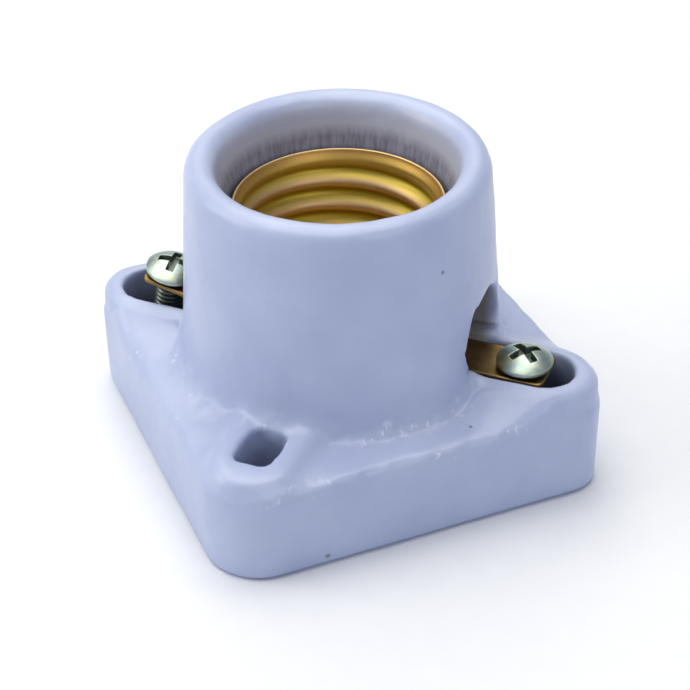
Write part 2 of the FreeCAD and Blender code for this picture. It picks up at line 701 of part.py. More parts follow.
def shellBottom(threadStart):
    # a bend from the wall to a flat ring, with a notch over the centre strap and three fixing holes
    low, thickness = size("landHeight"), size("sheetThickness")
    wall, bend = size("threadRadius"), size("flangeBendRadius")
    hole, floor = size("flangeHoleRadius"), low + thickness

    def corner(radius, height, bendRadius):
        centre = FreeCAD.Vector(radius - bendRadius, 0, height + bendRadius)
        low = centre - FreeCAD.Vector(0, 0, bendRadius)
        side = centre + FreeCAD.Vector(bendRadius, 0, 0)
        slant = FreeCAD.Vector(1, 0, -1).normalize() * bendRadius
        return low, centre + slant, side

    outerBend = corner(wall + thickness, low, bend + thickness / 2)
    innerBend = corner(wall, floor, bend - thickness / 2)
    points = [
        FreeCAD.Vector(hole, 0, low),
        outerBend[0],
        outerBend[2],
        FreeCAD.Vector(wall + thickness, 0, threadStart),
        FreeCAD.Vector(wall, 0, threadStart),
        innerBend[2],
        innerBend[0],
        FreeCAD.Vector(hole, 0, floor),
    ]
    ring = turned([
        Part.makeLine(points[0], points[1]),
        Part.Arc(*outerBend).toShape(),
        Part.makeLine(points[2], points[3]),
        Part.makeLine(points[3], points[4]),
        Part.makeLine(points[4], points[5]),
        Part.Arc(*reversed(innerBend)).toShape(),
        Part.makeLine(points[6], points[7]),
        Part.makeLine(points[7], points[0]),
    ])
    half, reach = size("flangeNotchHalfWidth"), wall - size("flangeRingWidth")
    under, over = low - size("cutMargin"), floor + size("cutMargin")
    notch = Part.makeBox(reach, 2 * half, over - under, FreeCAD.Vector(0, -half, under))
    cuts = [notch.common(disc(reach, under, over))]
    for x, y in shellFixings:
        hole = disc(size("sheetHoleRadius"), under, over)
        hole.translate(FreeCAD.Vector(valueOf(x), valueOf(y), 0))
        cuts.append(hole)
    return ring.cut(cuts)


def boreSectors(low, high):
    # the bore that flattens the thread's inner crests, in sectors that meet away from the wall's seam
    count, up, sectors = 6, FreeCAD.Vector(0, 0, 1), []
    bore = size("threadRadius") - size("threadWave") + size("threadFlat")
    for i in range(count):
        sector = Part.makeCylinder(bore, high - low, FreeCAD.Vector(0, 0, low), up, 360 / count)
        sector.rotate(FreeCAD.Vector(0, 0, 0), up, (i + 0.5) * 360 / count)
        sectors.append(sector)
    return sectors


def screwShell():
    neck, runOut = size("neckHeight"), size("threadRunOut")
    threadStart = size("landHeight") + size("sheetThickness") + size("flangeBendRadius")
    outside = threadSolid(size("threadRadius") + size("sheetThickness"), threadStart, neck)
    wall = outside.cut(threadSolid(size("threadRadius"), threadStart, neck))
    wall = wall.cut(boreSectors(threadStart + runOut / 2, neck - runOut / 2), touch)
    shell = doc.addObject("Part::Feature", "screw_shell")
    shell.Label = "screw_shell"
    shell.Shape = wall.fuse([shellBottom(threadStart), lipRing()])
    return shell


# Straps and centre contact


def centreStrap():
    body = newBody("centre_strap")
    outline = sketchOn(body, "XY_Plane", "centre_strap_outline", "Sizes.wellFloor")
    polygon(outline, [
        ("Sizes.centreStrapStart", "-" + strapHalfWidth),
        ("Sizes.centreStrapReach", "-" + strapHalfWidth),
        ("Sizes.centreStrapReach", strapHalfWidth),
        ("Sizes.centreStrapStart", strapHalfWidth),
    ])
    circle(outline, "Sizes.centreFixingX", "0", "Sizes.sheetHoleRadius")
    circle(outline, "Sizes.rightTerminalX", "0", "Sizes.terminalShankRadius + Sizes.threadClearance")
    plate = pad(body, outline, "centre_strap_plate", "Sizes.strapThickness")
    roundEdges(body, plate, "centre_strap_corners", "Sizes.strapCornerRadius", isUpright)
    return body


def shellStrap():
    body = newBody("shell_strap")
    profile = sketchOn(body, "XZ_Plane", "shell_strap_profile")
    rise = "(Sizes.shellStrapReach - Sizes.strapBend) * tan(%s)" % slope
    top = "Sizes.landHeight"
    polygon(profile, [
        ("-Sizes.shellStrapStart", shellStrapSeat),
        ("-Sizes.shellStrapStart", top),
        ("-Sizes.strapBend + Sizes.strapThickness * tan(%s / 2)" % slope, top),
        (
            "-Sizes.shellStrapReach + Sizes.strapThickness * sin(%s)" % slope,
            "%s + %s + Sizes.strapThickness * cos(%s)" % (shellStrapSeat, rise, slope),
        ),
        ("-Sizes.shellStrapReach", "%s + %s" % (shellStrapSeat, rise)),
        ("-Sizes.strapBend", shellStrapSeat),
    ])
    plate = pad(body, profile, "shell_strap_plate", "Sizes.strapWidth", midplane=True)
    reach = -size("shellStrapReach")
    roundEdges(
        body, plate, "shell_strap_corners", "Sizes.strapCornerRadius",
        lambda e: e.BoundBox.YLength < touch and e.BoundBox.XMin < reach + touch
        and e.BoundBox.XLength < size("strapThickness"),
    )
    above = "Sizes.landHeight + Sizes.cutMargin"
    fixing = sketchOn(body, "XY_Plane", "shell_strap_fixing", above)
    circle(fixing, *shellFixings[0], "Sizes.sheetHoleRadius")
    through = "Sizes.strapThickness + 2 * Sizes.cutMargin"
    pocket(body, fixing, "shell_strap_fixing_hole", through)
    terminal = sketchOn(body, "XY_Plane", "shell_strap_terminal")
    terminal.AttachmentOffset = FreeCAD.Placement(
        FreeCAD.Vector(0, 0, 0), FreeCAD.Rotation(FreeCAD.Vector(0, 1, 0), size("strapSlopeAngle"))
    )
    raised = leftTerminalPlace("Sizes.cutMargin")
    bind(terminal, {
        "AttachmentOffset.Base.x": raised[0],
        "AttachmentOffset.Base.z": raised[1],
        "AttachmentOffset.Rotation.Angle": "Sizes.strapSlopeAngle",
    })
    circle(terminal, "0", "0", "Sizes.terminalShankRadius + Sizes.threadClearance")
    pocket(body, terminal, "shell_strap_terminal_hole", through)
    return body


def leftTerminalPlace(gap):
    # the point over the left terminal's axis that stands gap above the strap's sloping top
    along = "(Sizes.leftTerminalX - Sizes.strapBend)"
    x = "-Sizes.leftTerminalX + (%s) * sin(%s)" % (gap, slope)
    bend = "Sizes.strapThickness * tan(%s / 2)" % slope
    z = "Sizes.landHeight + (%s + %s) * tan(%s) + (%s) * cos(%s)" % (along, bend, slope, gap, slope)
    return x, z


def centreContact():
    body = newBody("centre_contact")
    path = sketchOn(body, "XZ_Plane", "contact_path")
    bentPath(
        path,
        [
            ("Sizes.leafRootEnd", leafMiddle),
            ("Sizes.leafBendX", leafMiddle),
            ("-Sizes.leafCrestX", leafMiddle + " + Sizes.leafCrestRise"),
            ("-Sizes.leafTipX", leafMiddle + " + Sizes.leafTipRise"),
        ],
        ["Sizes.leafBendRadius", "Sizes.leafCrestRadius"],
    )
    section = sketchOn(body, "YZ_Plane", "contact_section", "Sizes.leafRootEnd")
    top = leafSeat + " + Sizes.leafThickness"
    polygon(section, [
        ("-Sizes.leafWidth / 2", leafSeat),
        ("Sizes.leafWidth / 2", leafSeat),
        ("Sizes.leafWidth / 2", top),
        ("-Sizes.leafWidth / 2", top),
    ])
    strip = body.newObject("PartDesign::AdditivePipe", "contact_strip")
    strip.Profile = section
    strip.Spine = (path, [])
    fixing = sketchOn(body, "XY_Plane", "contact_fixing", leafSeat + " + Sizes.cutMargin")
    circle(fixing, *centreFixing, "Sizes.sheetHoleRadius")
    pocket(body, fixing, "contact_fixing_hole", "2 * Sizes.cutMargin")
    return body


# Fasteners


def screw(name, kind, length):
    # a pan head screw with a cross recess: the head's underside is at its own origin
    body = newBody(name)
    profile = sketchOn(body, "XZ_Plane", name + "_profile")
    shank, head = "Sizes.%sShankRadius" % kind, "Sizes.%sHeadRadius" % kind
    top = "Sizes.%sHeadHeight" % kind
    rim = "Sizes.%sHeadRim" % kind
    domedProfile(profile, [
        ("0", "-" + length),
        (shank + " - Sizes.tipChamfer", "-" + length),
        (shank, "-%s + Sizes.tipChamfer" % length),
        (shank, "0"),
        (head, "0"),
        (head, rim),
        ("0", top),
    ])
    revolve(body, profile, name + "_turn")
    recess = sketchOn(body, "XY_Plane", name + "_recess", top)
    arm, half = "Sizes.%sRecessArm" % kind, "Sizes.%sRecessWidth / 2" % kind
    polygon(recess, [
        (arm, "-" + half), (arm, half), (half, half), (half, arm), ("-" + half, arm),
        ("-" + half, half), ("-" + arm, half), ("-" + arm, "-" + half), ("-" + half, "-" + half),
        ("-" + half, "-" + arm), (half, "-" + arm), (half, "-" + half),
    ])
    pocket(body, recess, name + "_cross", "Sizes.%sRecessDepth" % kind)
    return body


def washer(name):
    # a split spring washer, its underside at its own origin
    body = newBody(name)
    outline = sketchOn(body, "XY_Plane", name + "_outline")
    circle(outline, "0", "0", "Sizes.washerRadius")
    circle(outline, "0", "0", "Sizes.fixingShankRadius + Sizes.threadClearance")
    pad(body, outline, name + "_ring", "Sizes.washerThickness")
    split = sketchOn(body, "XY_Plane", name + "_split_outline", "Sizes.washerThickness")
    half = "Sizes.washerGap / 2"
    polygon(split, [
        ("0", "-" + half),
        ("Sizes.washerRadius + Sizes.cutMargin", "-" + half),
        ("Sizes.washerRadius + Sizes.cutMargin", half),
        ("0", half),
    ])
    pocket(body, split, name + "_split", "Sizes.washerThickness")
    return body


def nut(name):
    # a hexagon nut, its underside at its own origin
    body = newBody(name)
    outline = sketchOn(body, "XY_Plane", name + "_outline")
    corner = "Sizes.nutAcrossFlats / sqrt(3)"
    polygon(outline, [
        ("%s * cos(%ddeg)" % (corner, 60 * i), "%s * sin(%ddeg)" % (corner, 60 * i))
        for i in range(6)
    ])
    circle(outline, "0", "0", "Sizes.fixingShankRadius + Sizes.threadClearance")
    pad(body, outline, name + "_hexagon", "Sizes.nutHeight")
    return body


def place(body, x, y, z):
    bind(body, {"Placement.Base.x": x, "Placement.Base.y": y, "Placement.Base.z": z})
    return body


def fixing(names, x, y, seat, length):
    # a screw from above, with its spring washer and nut under the porcelain floor
    washerSeat = "Sizes.recessDepth - Sizes.washerThickness"
    return [
        place(screw(names % "screw", "fixing", length), x, y, seat),
        place(washer(names % "washer"), x, y, washerSeat),
        place(nut(names % "nut"), x, y, washerSeat + " - Sizes.nutHeight"),
    ]


def terminalScrews():
    right = screw("terminal_screw_right", "terminal", "Sizes.terminalShankLength")
    place(right, "Sizes.rightTerminalX", "0", leafSeat + " + Sizes.rightHeadGap")
    left = screw("terminal_screw_left", "terminal", "Sizes.terminalShankLength")
    left.Placement = FreeCAD.Placement(
        FreeCAD.Vector(0, 0, 0), FreeCAD.Rotation(FreeCAD.Vector(0, 1, 0), size("strapSlopeAngle"))
    )
    x, z = leftTerminalPlace("Sizes.leftHeadGap")
    place(left, x, "0", z)
    left.setExpression("Placement.Rotation.Angle", "Sizes.strapSlopeAngle")
    return [left, right]


parts = [porcelainBody(), screwShell(), centreStrap(), shellStrap(), centreContact()]
parts += terminalScrews()
for number, (x, y) in enumerate(shellFixings, start=1):
    parts += fixing("shell_%s_" + str(number), x, y, shellScrewSeat, "Sizes.shellScrewLength")
parts += fixing("centre_%s", *centreFixing, centreScrewSeat, "Sizes.centreScrewLength")
doc.recompute()

for item in doc.Objects:
    if any(word in item.State for word in ("Invalid", "Error")):
        raise RuntimeError("%s could not be built" % item.Name)
os.makedirs("parts", exist_ok=True)
for item in parts:
    shape = item.Shape
    if shape.isNull() or not shape.isValid():
        raise RuntimeError("%s has no sound shape" % item.Label)
    print(item.Label, "solids", len(shape.Solids), "volume %.1f" % shape.Volume)
    shape.exportStep("parts/%s.step" % item.Label)
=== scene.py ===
import bpy
import bmesh
import json
import math
import numpy as np
from mathutils import Matrix, Vector, noise

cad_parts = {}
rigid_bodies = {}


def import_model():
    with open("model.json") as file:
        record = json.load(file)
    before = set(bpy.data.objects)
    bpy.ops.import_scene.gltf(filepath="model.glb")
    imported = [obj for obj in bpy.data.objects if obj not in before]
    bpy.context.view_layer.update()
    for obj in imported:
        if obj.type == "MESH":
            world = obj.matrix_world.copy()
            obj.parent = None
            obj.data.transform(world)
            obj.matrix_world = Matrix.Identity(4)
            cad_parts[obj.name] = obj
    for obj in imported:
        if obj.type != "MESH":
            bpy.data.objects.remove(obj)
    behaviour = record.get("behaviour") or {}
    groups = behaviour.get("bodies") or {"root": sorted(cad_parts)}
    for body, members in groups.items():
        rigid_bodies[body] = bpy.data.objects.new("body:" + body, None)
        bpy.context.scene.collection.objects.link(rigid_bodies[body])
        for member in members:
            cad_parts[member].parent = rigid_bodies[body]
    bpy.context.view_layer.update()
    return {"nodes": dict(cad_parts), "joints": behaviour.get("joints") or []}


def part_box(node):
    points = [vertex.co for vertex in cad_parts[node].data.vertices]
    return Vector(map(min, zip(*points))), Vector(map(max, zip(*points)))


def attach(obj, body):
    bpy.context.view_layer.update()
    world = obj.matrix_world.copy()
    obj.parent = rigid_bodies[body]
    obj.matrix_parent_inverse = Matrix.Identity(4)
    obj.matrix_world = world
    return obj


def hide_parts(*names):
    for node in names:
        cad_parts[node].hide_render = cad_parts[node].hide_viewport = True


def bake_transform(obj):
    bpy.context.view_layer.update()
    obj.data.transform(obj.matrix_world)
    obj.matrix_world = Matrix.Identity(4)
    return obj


# Looks of the porcelain lamp holder: glazed body, rolled brass shell, brass straps, plated screws.
# Metres, +Z up, the two terminals on X and the two mounting slots on Y.

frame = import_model()
cadNodes = frame["nodes"]
mm = 0.001
weldGap = 0.0005 * mm


# Small helpers


def hexColour(code):
    # an sRGB hex value as the linear colour that the shaders take
    def linear(part):
        value = int(part, 16) / 255
        return value / 12.92 if value <= 0.04045 else ((value + 0.055) / 1.055) ** 2.4

    return (linear(code[1:3]), linear(code[3:5]), linear(code[5:7]), 1.0)


def addNode(tree, kind, inputs=None, **settings):
    # one node with its settings, and its inputs as values or links
    node = tree.nodes.new(kind)
    for name, value in settings.items():
        setattr(node, name, value)
    for socket, value in (inputs or {}).items():
        if isinstance(value, bpy.types.NodeSocket):
            tree.links.new(value, node.inputs[socket])
        else:
            node.inputs[socket].default_value = value
    return node


def addMath(tree, operation, *values):
    inputs = {index: value for index, value in enumerate(values)}
    return addNode(tree, "ShaderNodeMath", inputs, operation=operation).outputs[0]


def addRamp(tree, factor, stops):
    ramp = addNode(tree, "ShaderNodeValToRGB", {"Fac": factor})
    while len(ramp.color_ramp.elements) < len(stops):
        ramp.color_ramp.elements.new(0.5)
    for element, (position, colour) in zip(ramp.color_ramp.elements, stops):
        element.position = position
        element.color = hexColour(colour)
    return ramp.outputs["Color"]


def addFade(tree, value, start, end):
    # 0 at the first distance in mm and 1 at the second
    return addNode(
        tree, "ShaderNodeMapRange", {"Value": value, "From Min": start * mm, "From Max": end * mm}
    ).outputs[0]


def addTone(tree, factor, colour, tone):
    mix = addNode(tree, "ShaderNodeMix", {"Factor": factor}, data_type="RGBA")
    tree.links.new(colour, mix.inputs[6])
    mix.inputs[7].default_value = hexColour(tone)
    return mix.outputs[2]


def newMaterial(name):
    material = bpy.data.materials.new(name)
    material.use_nodes = True
    tree = material.node_tree
    shader = tree.nodes["Principled BSDF"]
    where = addNode(tree, "ShaderNodeTexCoord").outputs["Object"]
    return material, tree, shader, where


def meshObject(name, mesh):
    piece = bpy.data.objects.new(name, mesh)
    bpy.context.scene.collection.objects.link(piece)
    return piece


def mergedCopy(*names):
    # one closed mesh from the copied triangles of CAD nodes
    work = bmesh.new()
    for name in names:
        work.from_mesh(cadNodes[name].data)
    bmesh.ops.remove_doubles(work, verts=work.verts, dist=weldGap)
    mesh = bpy.data.meshes.new(names[0])
    work.to_mesh(mesh)
    work.free()
    mesh.materials.clear()
    return mesh


def applied(piece):
    # the piece's modifiers turned into its plain mesh
    graph = bpy.context.evaluated_depsgraph_get()
    mesh = bpy.data.meshes.new_from_object(piece.evaluated_get(graph))
    piece.modifiers.clear()
    old = piece.data
    piece.data = mesh
    bpy.data.meshes.remove(old)
    return piece


def softened(name, mesh, voxel, passes):
    # even small quads over a form, with its sharp edges worn or glazed over
    piece = meshObject(name, mesh)
    remesh = piece.modifiers.new("grain", "REMESH")
    remesh.mode = "VOXEL"
    remesh.voxel_size = voxel
    remesh.use_smooth_shade = True
    smooth = piece.modifiers.new("soften", "SMOOTH")
    smooth.factor = 0.5
    smooth.iterations = passes
    return applied(piece)


def dress(piece, material, body, slot, *replaced):
    piece.data.materials.clear()
    piece.data.materials.append(material)
    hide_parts(*replaced)
    if body:
        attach(piece, body)


def newTree(name, inputs):
    tree = bpy.data.node_groups.new(name, "GeometryNodeTree")
    face = tree.interface
    face.new_socket("Geometry", in_out="INPUT", socket_type="NodeSocketGeometry")
    for label, kind in inputs:
        face.new_socket(label, in_out="INPUT", socket_type="NodeSocket" + kind)
    face.new_socket("Geometry", in_out="OUTPUT", socket_type="NodeSocketGeometry")
    return tree, addNode(tree, "NodeGroupInput").outputs


def endTree(tree, geometry, material):
    whole = addNode(tree, "GeometryNodeRealizeInstances", {"Geometry": geometry})
    painted = addNode(
        tree, "GeometryNodeSetMaterial", {"Geometry": whole.outputs[0], "Material": material}
    )
    addNode(tree, "NodeGroupOutput", {"Geometry": painted.outputs[0]})


def grow(piece, tree, values):
    # runs a geometry tree on a piece with its named inputs, and keeps the plain mesh
    modifier = piece.modifiers.new(tree.name, "NODES")
    modifier.node_group = tree
    for item in tree.interface.items_tree:
        if item.in_out == "INPUT" and item.name in values:
            modifier[item.identifier] = values[item.name]
    return applied(piece)


# Materials


def inHollow(tree, axes, hollow, rim):
    # 1 inside the upright hollows at both ends of an axis, from their brim down
    middleX, halfX, middleY, halfY, brim, deep = hollow
    inside = addFade(tree, axes[2], brim, deep)
    for axis, middle, half in ((axes[0], middleX, halfX), (axes[1], middleY, halfY)):
        off = addMath(tree, "SUBTRACT", addMath(tree, "ABSOLUTE", axis), middle * mm)
        within = addFade(tree, addMath(tree, "ABSOLUTE", off), half + rim, half - rim)
        inside = addMath(tree, "MULTIPLY", inside, within)
    return inside


def nearTo(tree, value, place, width):
    # 1 at a distance in mm, falling to 0 at its width on either side
    off = addMath(tree, "ABSOLUTE", addMath(tree, "SUBTRACT", value, place * mm))
    return addFade(tree, off, width, 0)


def glazeNicks(tree, look, where, axes, radius):
    # painted glints: pale specks that stand in for highlights on the glaze, along the base's top edge
    # and the tower's foot
    reach, height, width = look["foot"]
    atFoot = addMath(
        tree, "MULTIPLY",
        nearTo(tree, radius, reach, width),
        nearTo(tree, axes[2], height, width),
    )
    span = addMath(
        tree, "ADD", addMath(tree, "ABSOLUTE", axes[0]), addMath(tree, "ABSOLUTE", axes[1])
    )
    reach, height, width = look["edge"]
    atEdge = addMath(
        tree, "MULTIPLY",
        nearTo(tree, span, reach * math.sqrt(2), 2 * width),
        nearTo(tree, axes[2], height, 2 * width),
    )
    near = addMath(tree, "SQRT", addMath(tree, "MAXIMUM", atFoot, atEdge))
    stretched = addNode(tree, "ShaderNodeMapping", {
        "Vector": where, "Scale": tuple(1 / (size * mm) for size in look["glintSize"]),
    })
    grain = addNode(tree, "ShaderNodeTexNoise", {
        "Vector": stretched.outputs[0], "Scale": 1.0, "Detail": 2.0,
    })
    patch = addNode(tree, "ShaderNodeTexNoise", {
        "Vector": where, "Scale": 1 / (look["glintPatch"] * mm),
    })
    for field, share in ((grain, look["glintShare"]), (patch, look["glintPatchShare"])):
        shown = addNode(tree, "ShaderNodeMapRange", {
            "Value": field.outputs["Fac"], "From Min": share[0], "From Max": share[1],
        })
        near = addMath(tree, "MULTIPLY", near, shown.outputs[0])
    return addMath(tree, "MULTIPLY", near, look["glintStrength"])


def glazedPorcelain(look):
    # pressed porcelain under a clear glaze: cool grey-blue body, broken edge lights, slow ripples, pale
    # painted glints as highlights, iron specks, painted shade with a brown painted reflection of the
    # brass in the windows, painted shade in the pockets and slots, and a bore that is grey and
    # streaked, with painted shade deepening down to the brass
    material, tree, shader, where = newMaterial("glazedPressedPorcelain")
    cloud = addNode(
        tree, "ShaderNodeTexNoise",
        {"Vector": where, "Scale": 1 / (look["cloudSize"] * mm), "Detail": 3.0, "Roughness": 0.5},
    )
    body = addRamp(tree, cloud.outputs["Fac"], [(0.3, look["shadeTint"]), (0.7, look["tint"])])
    cells = addNode(
        tree, "ShaderNodeTexVoronoi", {"Vector": where, "Scale": 1 / (look["speckSpacing"] * mm)}
    )
    speckReach = look["speckSize"] / look["speckSpacing"]
    near = addMath(tree, "LESS_THAN", cells.outputs["Distance"], speckReach)
    rare = addNode(tree, "ShaderNodeSeparateColor", {"Color": cells.outputs["Color"]})
    some = addMath(tree, "LESS_THAN", rare.outputs["Red"], look["speckShare"])
    speck = addMath(tree, "MULTIPLY", near, some)
    for x, y, z, radius in look["ironSpots"]:
        far = addNode(
            tree, "ShaderNodeVectorMath", {0: where, 1: (x * mm, y * mm, z * mm)}, operation="DISTANCE"
        )
        speck = addMath(
            tree, "MAXIMUM", speck, addMath(tree, "LESS_THAN", far.outputs["Value"], radius * mm)
        )
    speckFade = addMath(tree, "MULTIPLY", speck, look["speckStrength"])
    parts = addNode(tree, "ShaderNodeSeparateXYZ", {"Vector": where})
    flat = addNode(tree, "ShaderNodeCombineXYZ", {"X": parts.outputs[0], "Y": parts.outputs[1]})
    radius = addNode(tree, "ShaderNodeVectorMath", {0: flat.outputs[0]}, operation="LENGTH")
    inBore = addFade(tree, radius.outputs["Value"], look["boreEdge"], look["boreWall"])
    # streaked staining in the bore together with painted shade, darker down towards the brass
    down = addFade(tree, parts.outputs[2], look["stainAndShadeTop"], look["stainAndShadeDeep"])
    streakPlace = addNode(tree, "ShaderNodeMapping", {
        "Vector": where,
        "Scale": tuple(1 / (size * mm) for size in look["streakSize"]),
    })
    streaks = addNode(tree, "ShaderNodeTexNoise", {"Vector": streakPlace.outputs[0], "Scale": 1.0})
    thin, thick = look["streakShare"]
    weak, strong = look["stainAndShade"]
    streaked = addNode(tree, "ShaderNodeMapRange", {
        "Value": streaks.outputs["Fac"],
        "From Min": thin, "From Max": thick, "To Min": weak, "To Max": strong,
    })
    lowBore = addMath(tree, "MULTIPLY", inBore, down)
    stainAndShade = addMath(tree, "MULTIPLY", lowBore, streaked.outputs[0])
    grey = addTone(tree, addMath(tree, "MULTIPLY", inBore, look["boreGrey"]), body, look["boreTone"])
    stainedAndShaded = addTone(tree, stainAndShade, grey, look["stainAndShadeTone"])
    # painted shade on the windows' inner walls, browned as a painted reflection of the brass straps
    outer, inner, top, below = look["windowShadeZone"]
    inWall = addFade(tree, radius.outputs["Value"], outer, inner)
    jambShade = addMath(tree, "MULTIPLY", inWall, addFade(tree, parts.outputs[2], top, below))
    windowShade = addTone(tree, addMath(tree, "MULTIPLY", jambShade, look["windowShade"]), stainedAndShaded, look["windowShadeTone"])
    # painted shade deep in the terminal pockets and the mounting slots
    hollowShaded = windowShade
    for hollow, tone, share in look["hollowShade"]:
        inside = inHollow(tree, parts.outputs, hollow, look["hollowShadeRim"])
        hollowShaded = addTone(tree, addMath(tree, "MULTIPLY", inside, share), hollowShaded, tone)
    # pale painted glints that stand in for highlights on the glaze
    glints = glazeNicks(tree, look, where, parts.outputs, radius.outputs["Value"])
    glinted = addTone(tree, glints, hollowShaded, look["glintTone"])
    colour = addTone(tree, speckFade, glinted, look["speck"])
    tree.links.new(colour, shader.inputs["Base Color"])
    ripple = addNode(
        tree, "ShaderNodeTexNoise",
        {"Vector": where, "Scale": 1 / (look["rippleSize"] * mm), "Detail": 1.0},
    )
    peel = addNode(
        tree, "ShaderNodeTexNoise",
        {"Vector": where, "Scale": 1 / (look["peelSize"] * mm), "Detail": 2.0},
    )
    slow = addNode(
        tree, "ShaderNodeBump",
        {"Height": ripple.outputs["Fac"], "Distance": look["rippleDepth"] * mm, "Strength": 1.0},
    )
    fine = addNode(
        tree, "ShaderNodeBump",
        {
            "Height": peel.outputs["Fac"],
            "Distance": look["peelDepth"] * mm,
            "Strength": 1.0,
            "Normal": slow.outputs["Normal"],
        },
    )
    tree.links.new(fine.outputs["Normal"], shader.inputs["Normal"])
    shader.inputs["Roughness"].default_value = look["roughness"]
    shader.inputs["IOR"].default_value = look["ior"]
    shader.inputs["Coat Weight"].default_value = look["coat"]
    shader.inputs["Coat Roughness"].default_value = look["coatRoughness"]
    shader.inputs["Subsurface Weight"].default_value = look["translucency"]
    shader.inputs["Subsurface Radius"].default_value = look["translucencyTint"]
    shader.inputs["Subsurface Scale"].default_value = look["translucencyDepth"] * mm
    return material


def addRoughness(tree, shader, grain, reach):
    # the middle of a grain spread over the roughness from its least to its most
    rough = addNode(tree, "ShaderNodeMapRange", {
        "Value": grain, "From Min": 0.3, "From Max": 0.7, "To Min": reach[0], "To Max": reach[1],
    })
    tree.links.new(rough.outputs[0], shader.inputs["Roughness"])


def metalSheet(name, look):
    # rolled or plated metal: its tones in soft blotches, a fine grain, and painted shade where the mesh
    # marks it
    material, tree, shader, where = newMaterial(name)
    blotch = addNode(
        tree, "ShaderNodeTexNoise",
        {"Vector": where, "Scale": 1 / (look["blotchSize"] * mm), "Detail": 3.0, "Roughness": 0.6},
    )
    plated = addRamp(tree, blotch.outputs["Fac"], look["tones"])
    # painted shade where the mesh marks it: the terminal screws' cross recesses and threads
    paintedShade = addNode(tree, "ShaderNodeAttribute", attribute_name="paintedShade").outputs["Fac"]
    tree.links.new(addTone(tree, paintedShade, plated, look["paintedShadeTone"]), shader.inputs["Base Color"])
    stretched = addNode(
        tree, "ShaderNodeMapping",
        {"Vector": where, "Scale": tuple(1 / (size * mm) for size in look["grainSize"])},
    )
    grain = addNode(
        tree, "ShaderNodeTexNoise", {"Vector": stretched.outputs[0], "Scale": 1.0, "Detail": 2.0}
    )
    addRoughness(tree, shader, grain.outputs["Fac"], look["roughness"])
    bump = addNode(
        tree, "ShaderNodeBump",
        {"Height": grain.outputs["Fac"], "Distance": look["grainDepth"] * mm, "Strength": 1.0},
    )
    tree.links.new(bump.outputs["Normal"], shader.inputs["Normal"])
    shader.inputs["Metallic"].default_value = 1.0
    return material


def rolledBrass(look):
    # drawn brass with a rolled thread: crests paler as a painted highlight, grooves olive, partly
    # tarnish and partly painted shade, an olive film in blotches, and fine lines round the shell from
    # the spinning
    material, tree, shader, where = newMaterial("rolledThreadBrass")
    parts = addNode(tree, "ShaderNodeSeparateXYZ", {"Vector": where})
    across = addMath(tree, "MULTIPLY", parts.outputs[0], parts.outputs[0])
    deep = addMath(tree, "MULTIPLY", parts.outputs[1], parts.outputs[1])
    radius = addMath(tree, "SQRT", addMath(tree, "ADD", across, deep))
    # crests painted paler as a painted highlight, grooves olive with tarnish and painted shade
    rolled = addRamp(tree, addFade(tree, radius, look["crest"], look["groove"]), look["tones"])
    atLip = addFade(tree, parts.outputs[2], look["lipStart"], look["lipFull"])
    lipped = addTone(tree, atLip, rolled, look["lipTone"])
    atRoll = addFade(tree, parts.outputs[2], look["rollStart"], look["rollFull"])
    edged = addTone(tree, atRoll, lipped, look["rollTone"])
    atFlange = addFade(tree, parts.outputs[2], look["bendTop"], look["flangeTop"])
    tone = addTone(tree, atFlange, edged, look["flangeTone"])
    blotch = addNode(
        tree, "ShaderNodeTexNoise",
        {"Vector": where, "Scale": 1 / (look["blotchSize"] * mm), "Detail": 3.0, "Roughness": 0.6},
    )
    film = addMath(tree, "MULTIPLY", blotch.outputs["Fac"], look["film"])
    colour = addTone(tree, film, tone, look["filmTone"])
    tree.links.new(colour, shader.inputs["Base Color"])
    stretched = addNode(
        tree, "ShaderNodeMapping",
        {"Vector": where, "Scale": tuple(1 / (size * mm) for size in look["lineSize"])},
    )
    lines = addNode(
        tree, "ShaderNodeTexNoise", {"Vector": stretched.outputs[0], "Scale": 1.0, "Detail": 2.0}
    )
    addRoughness(tree, shader, lines.outputs["Fac"], look["roughness"])
    bump = addNode(
        tree, "ShaderNodeBump",
        {"Height": lines.outputs["Fac"], "Distance": look["lineDepth"] * mm, "Strength": 1.0},
    )
    tree.links.new(bump.outputs["Normal"], shader.inputs["Normal"])
    shader.inputs["Metallic"].default_value = 1.0
    return material


# Porcelain body

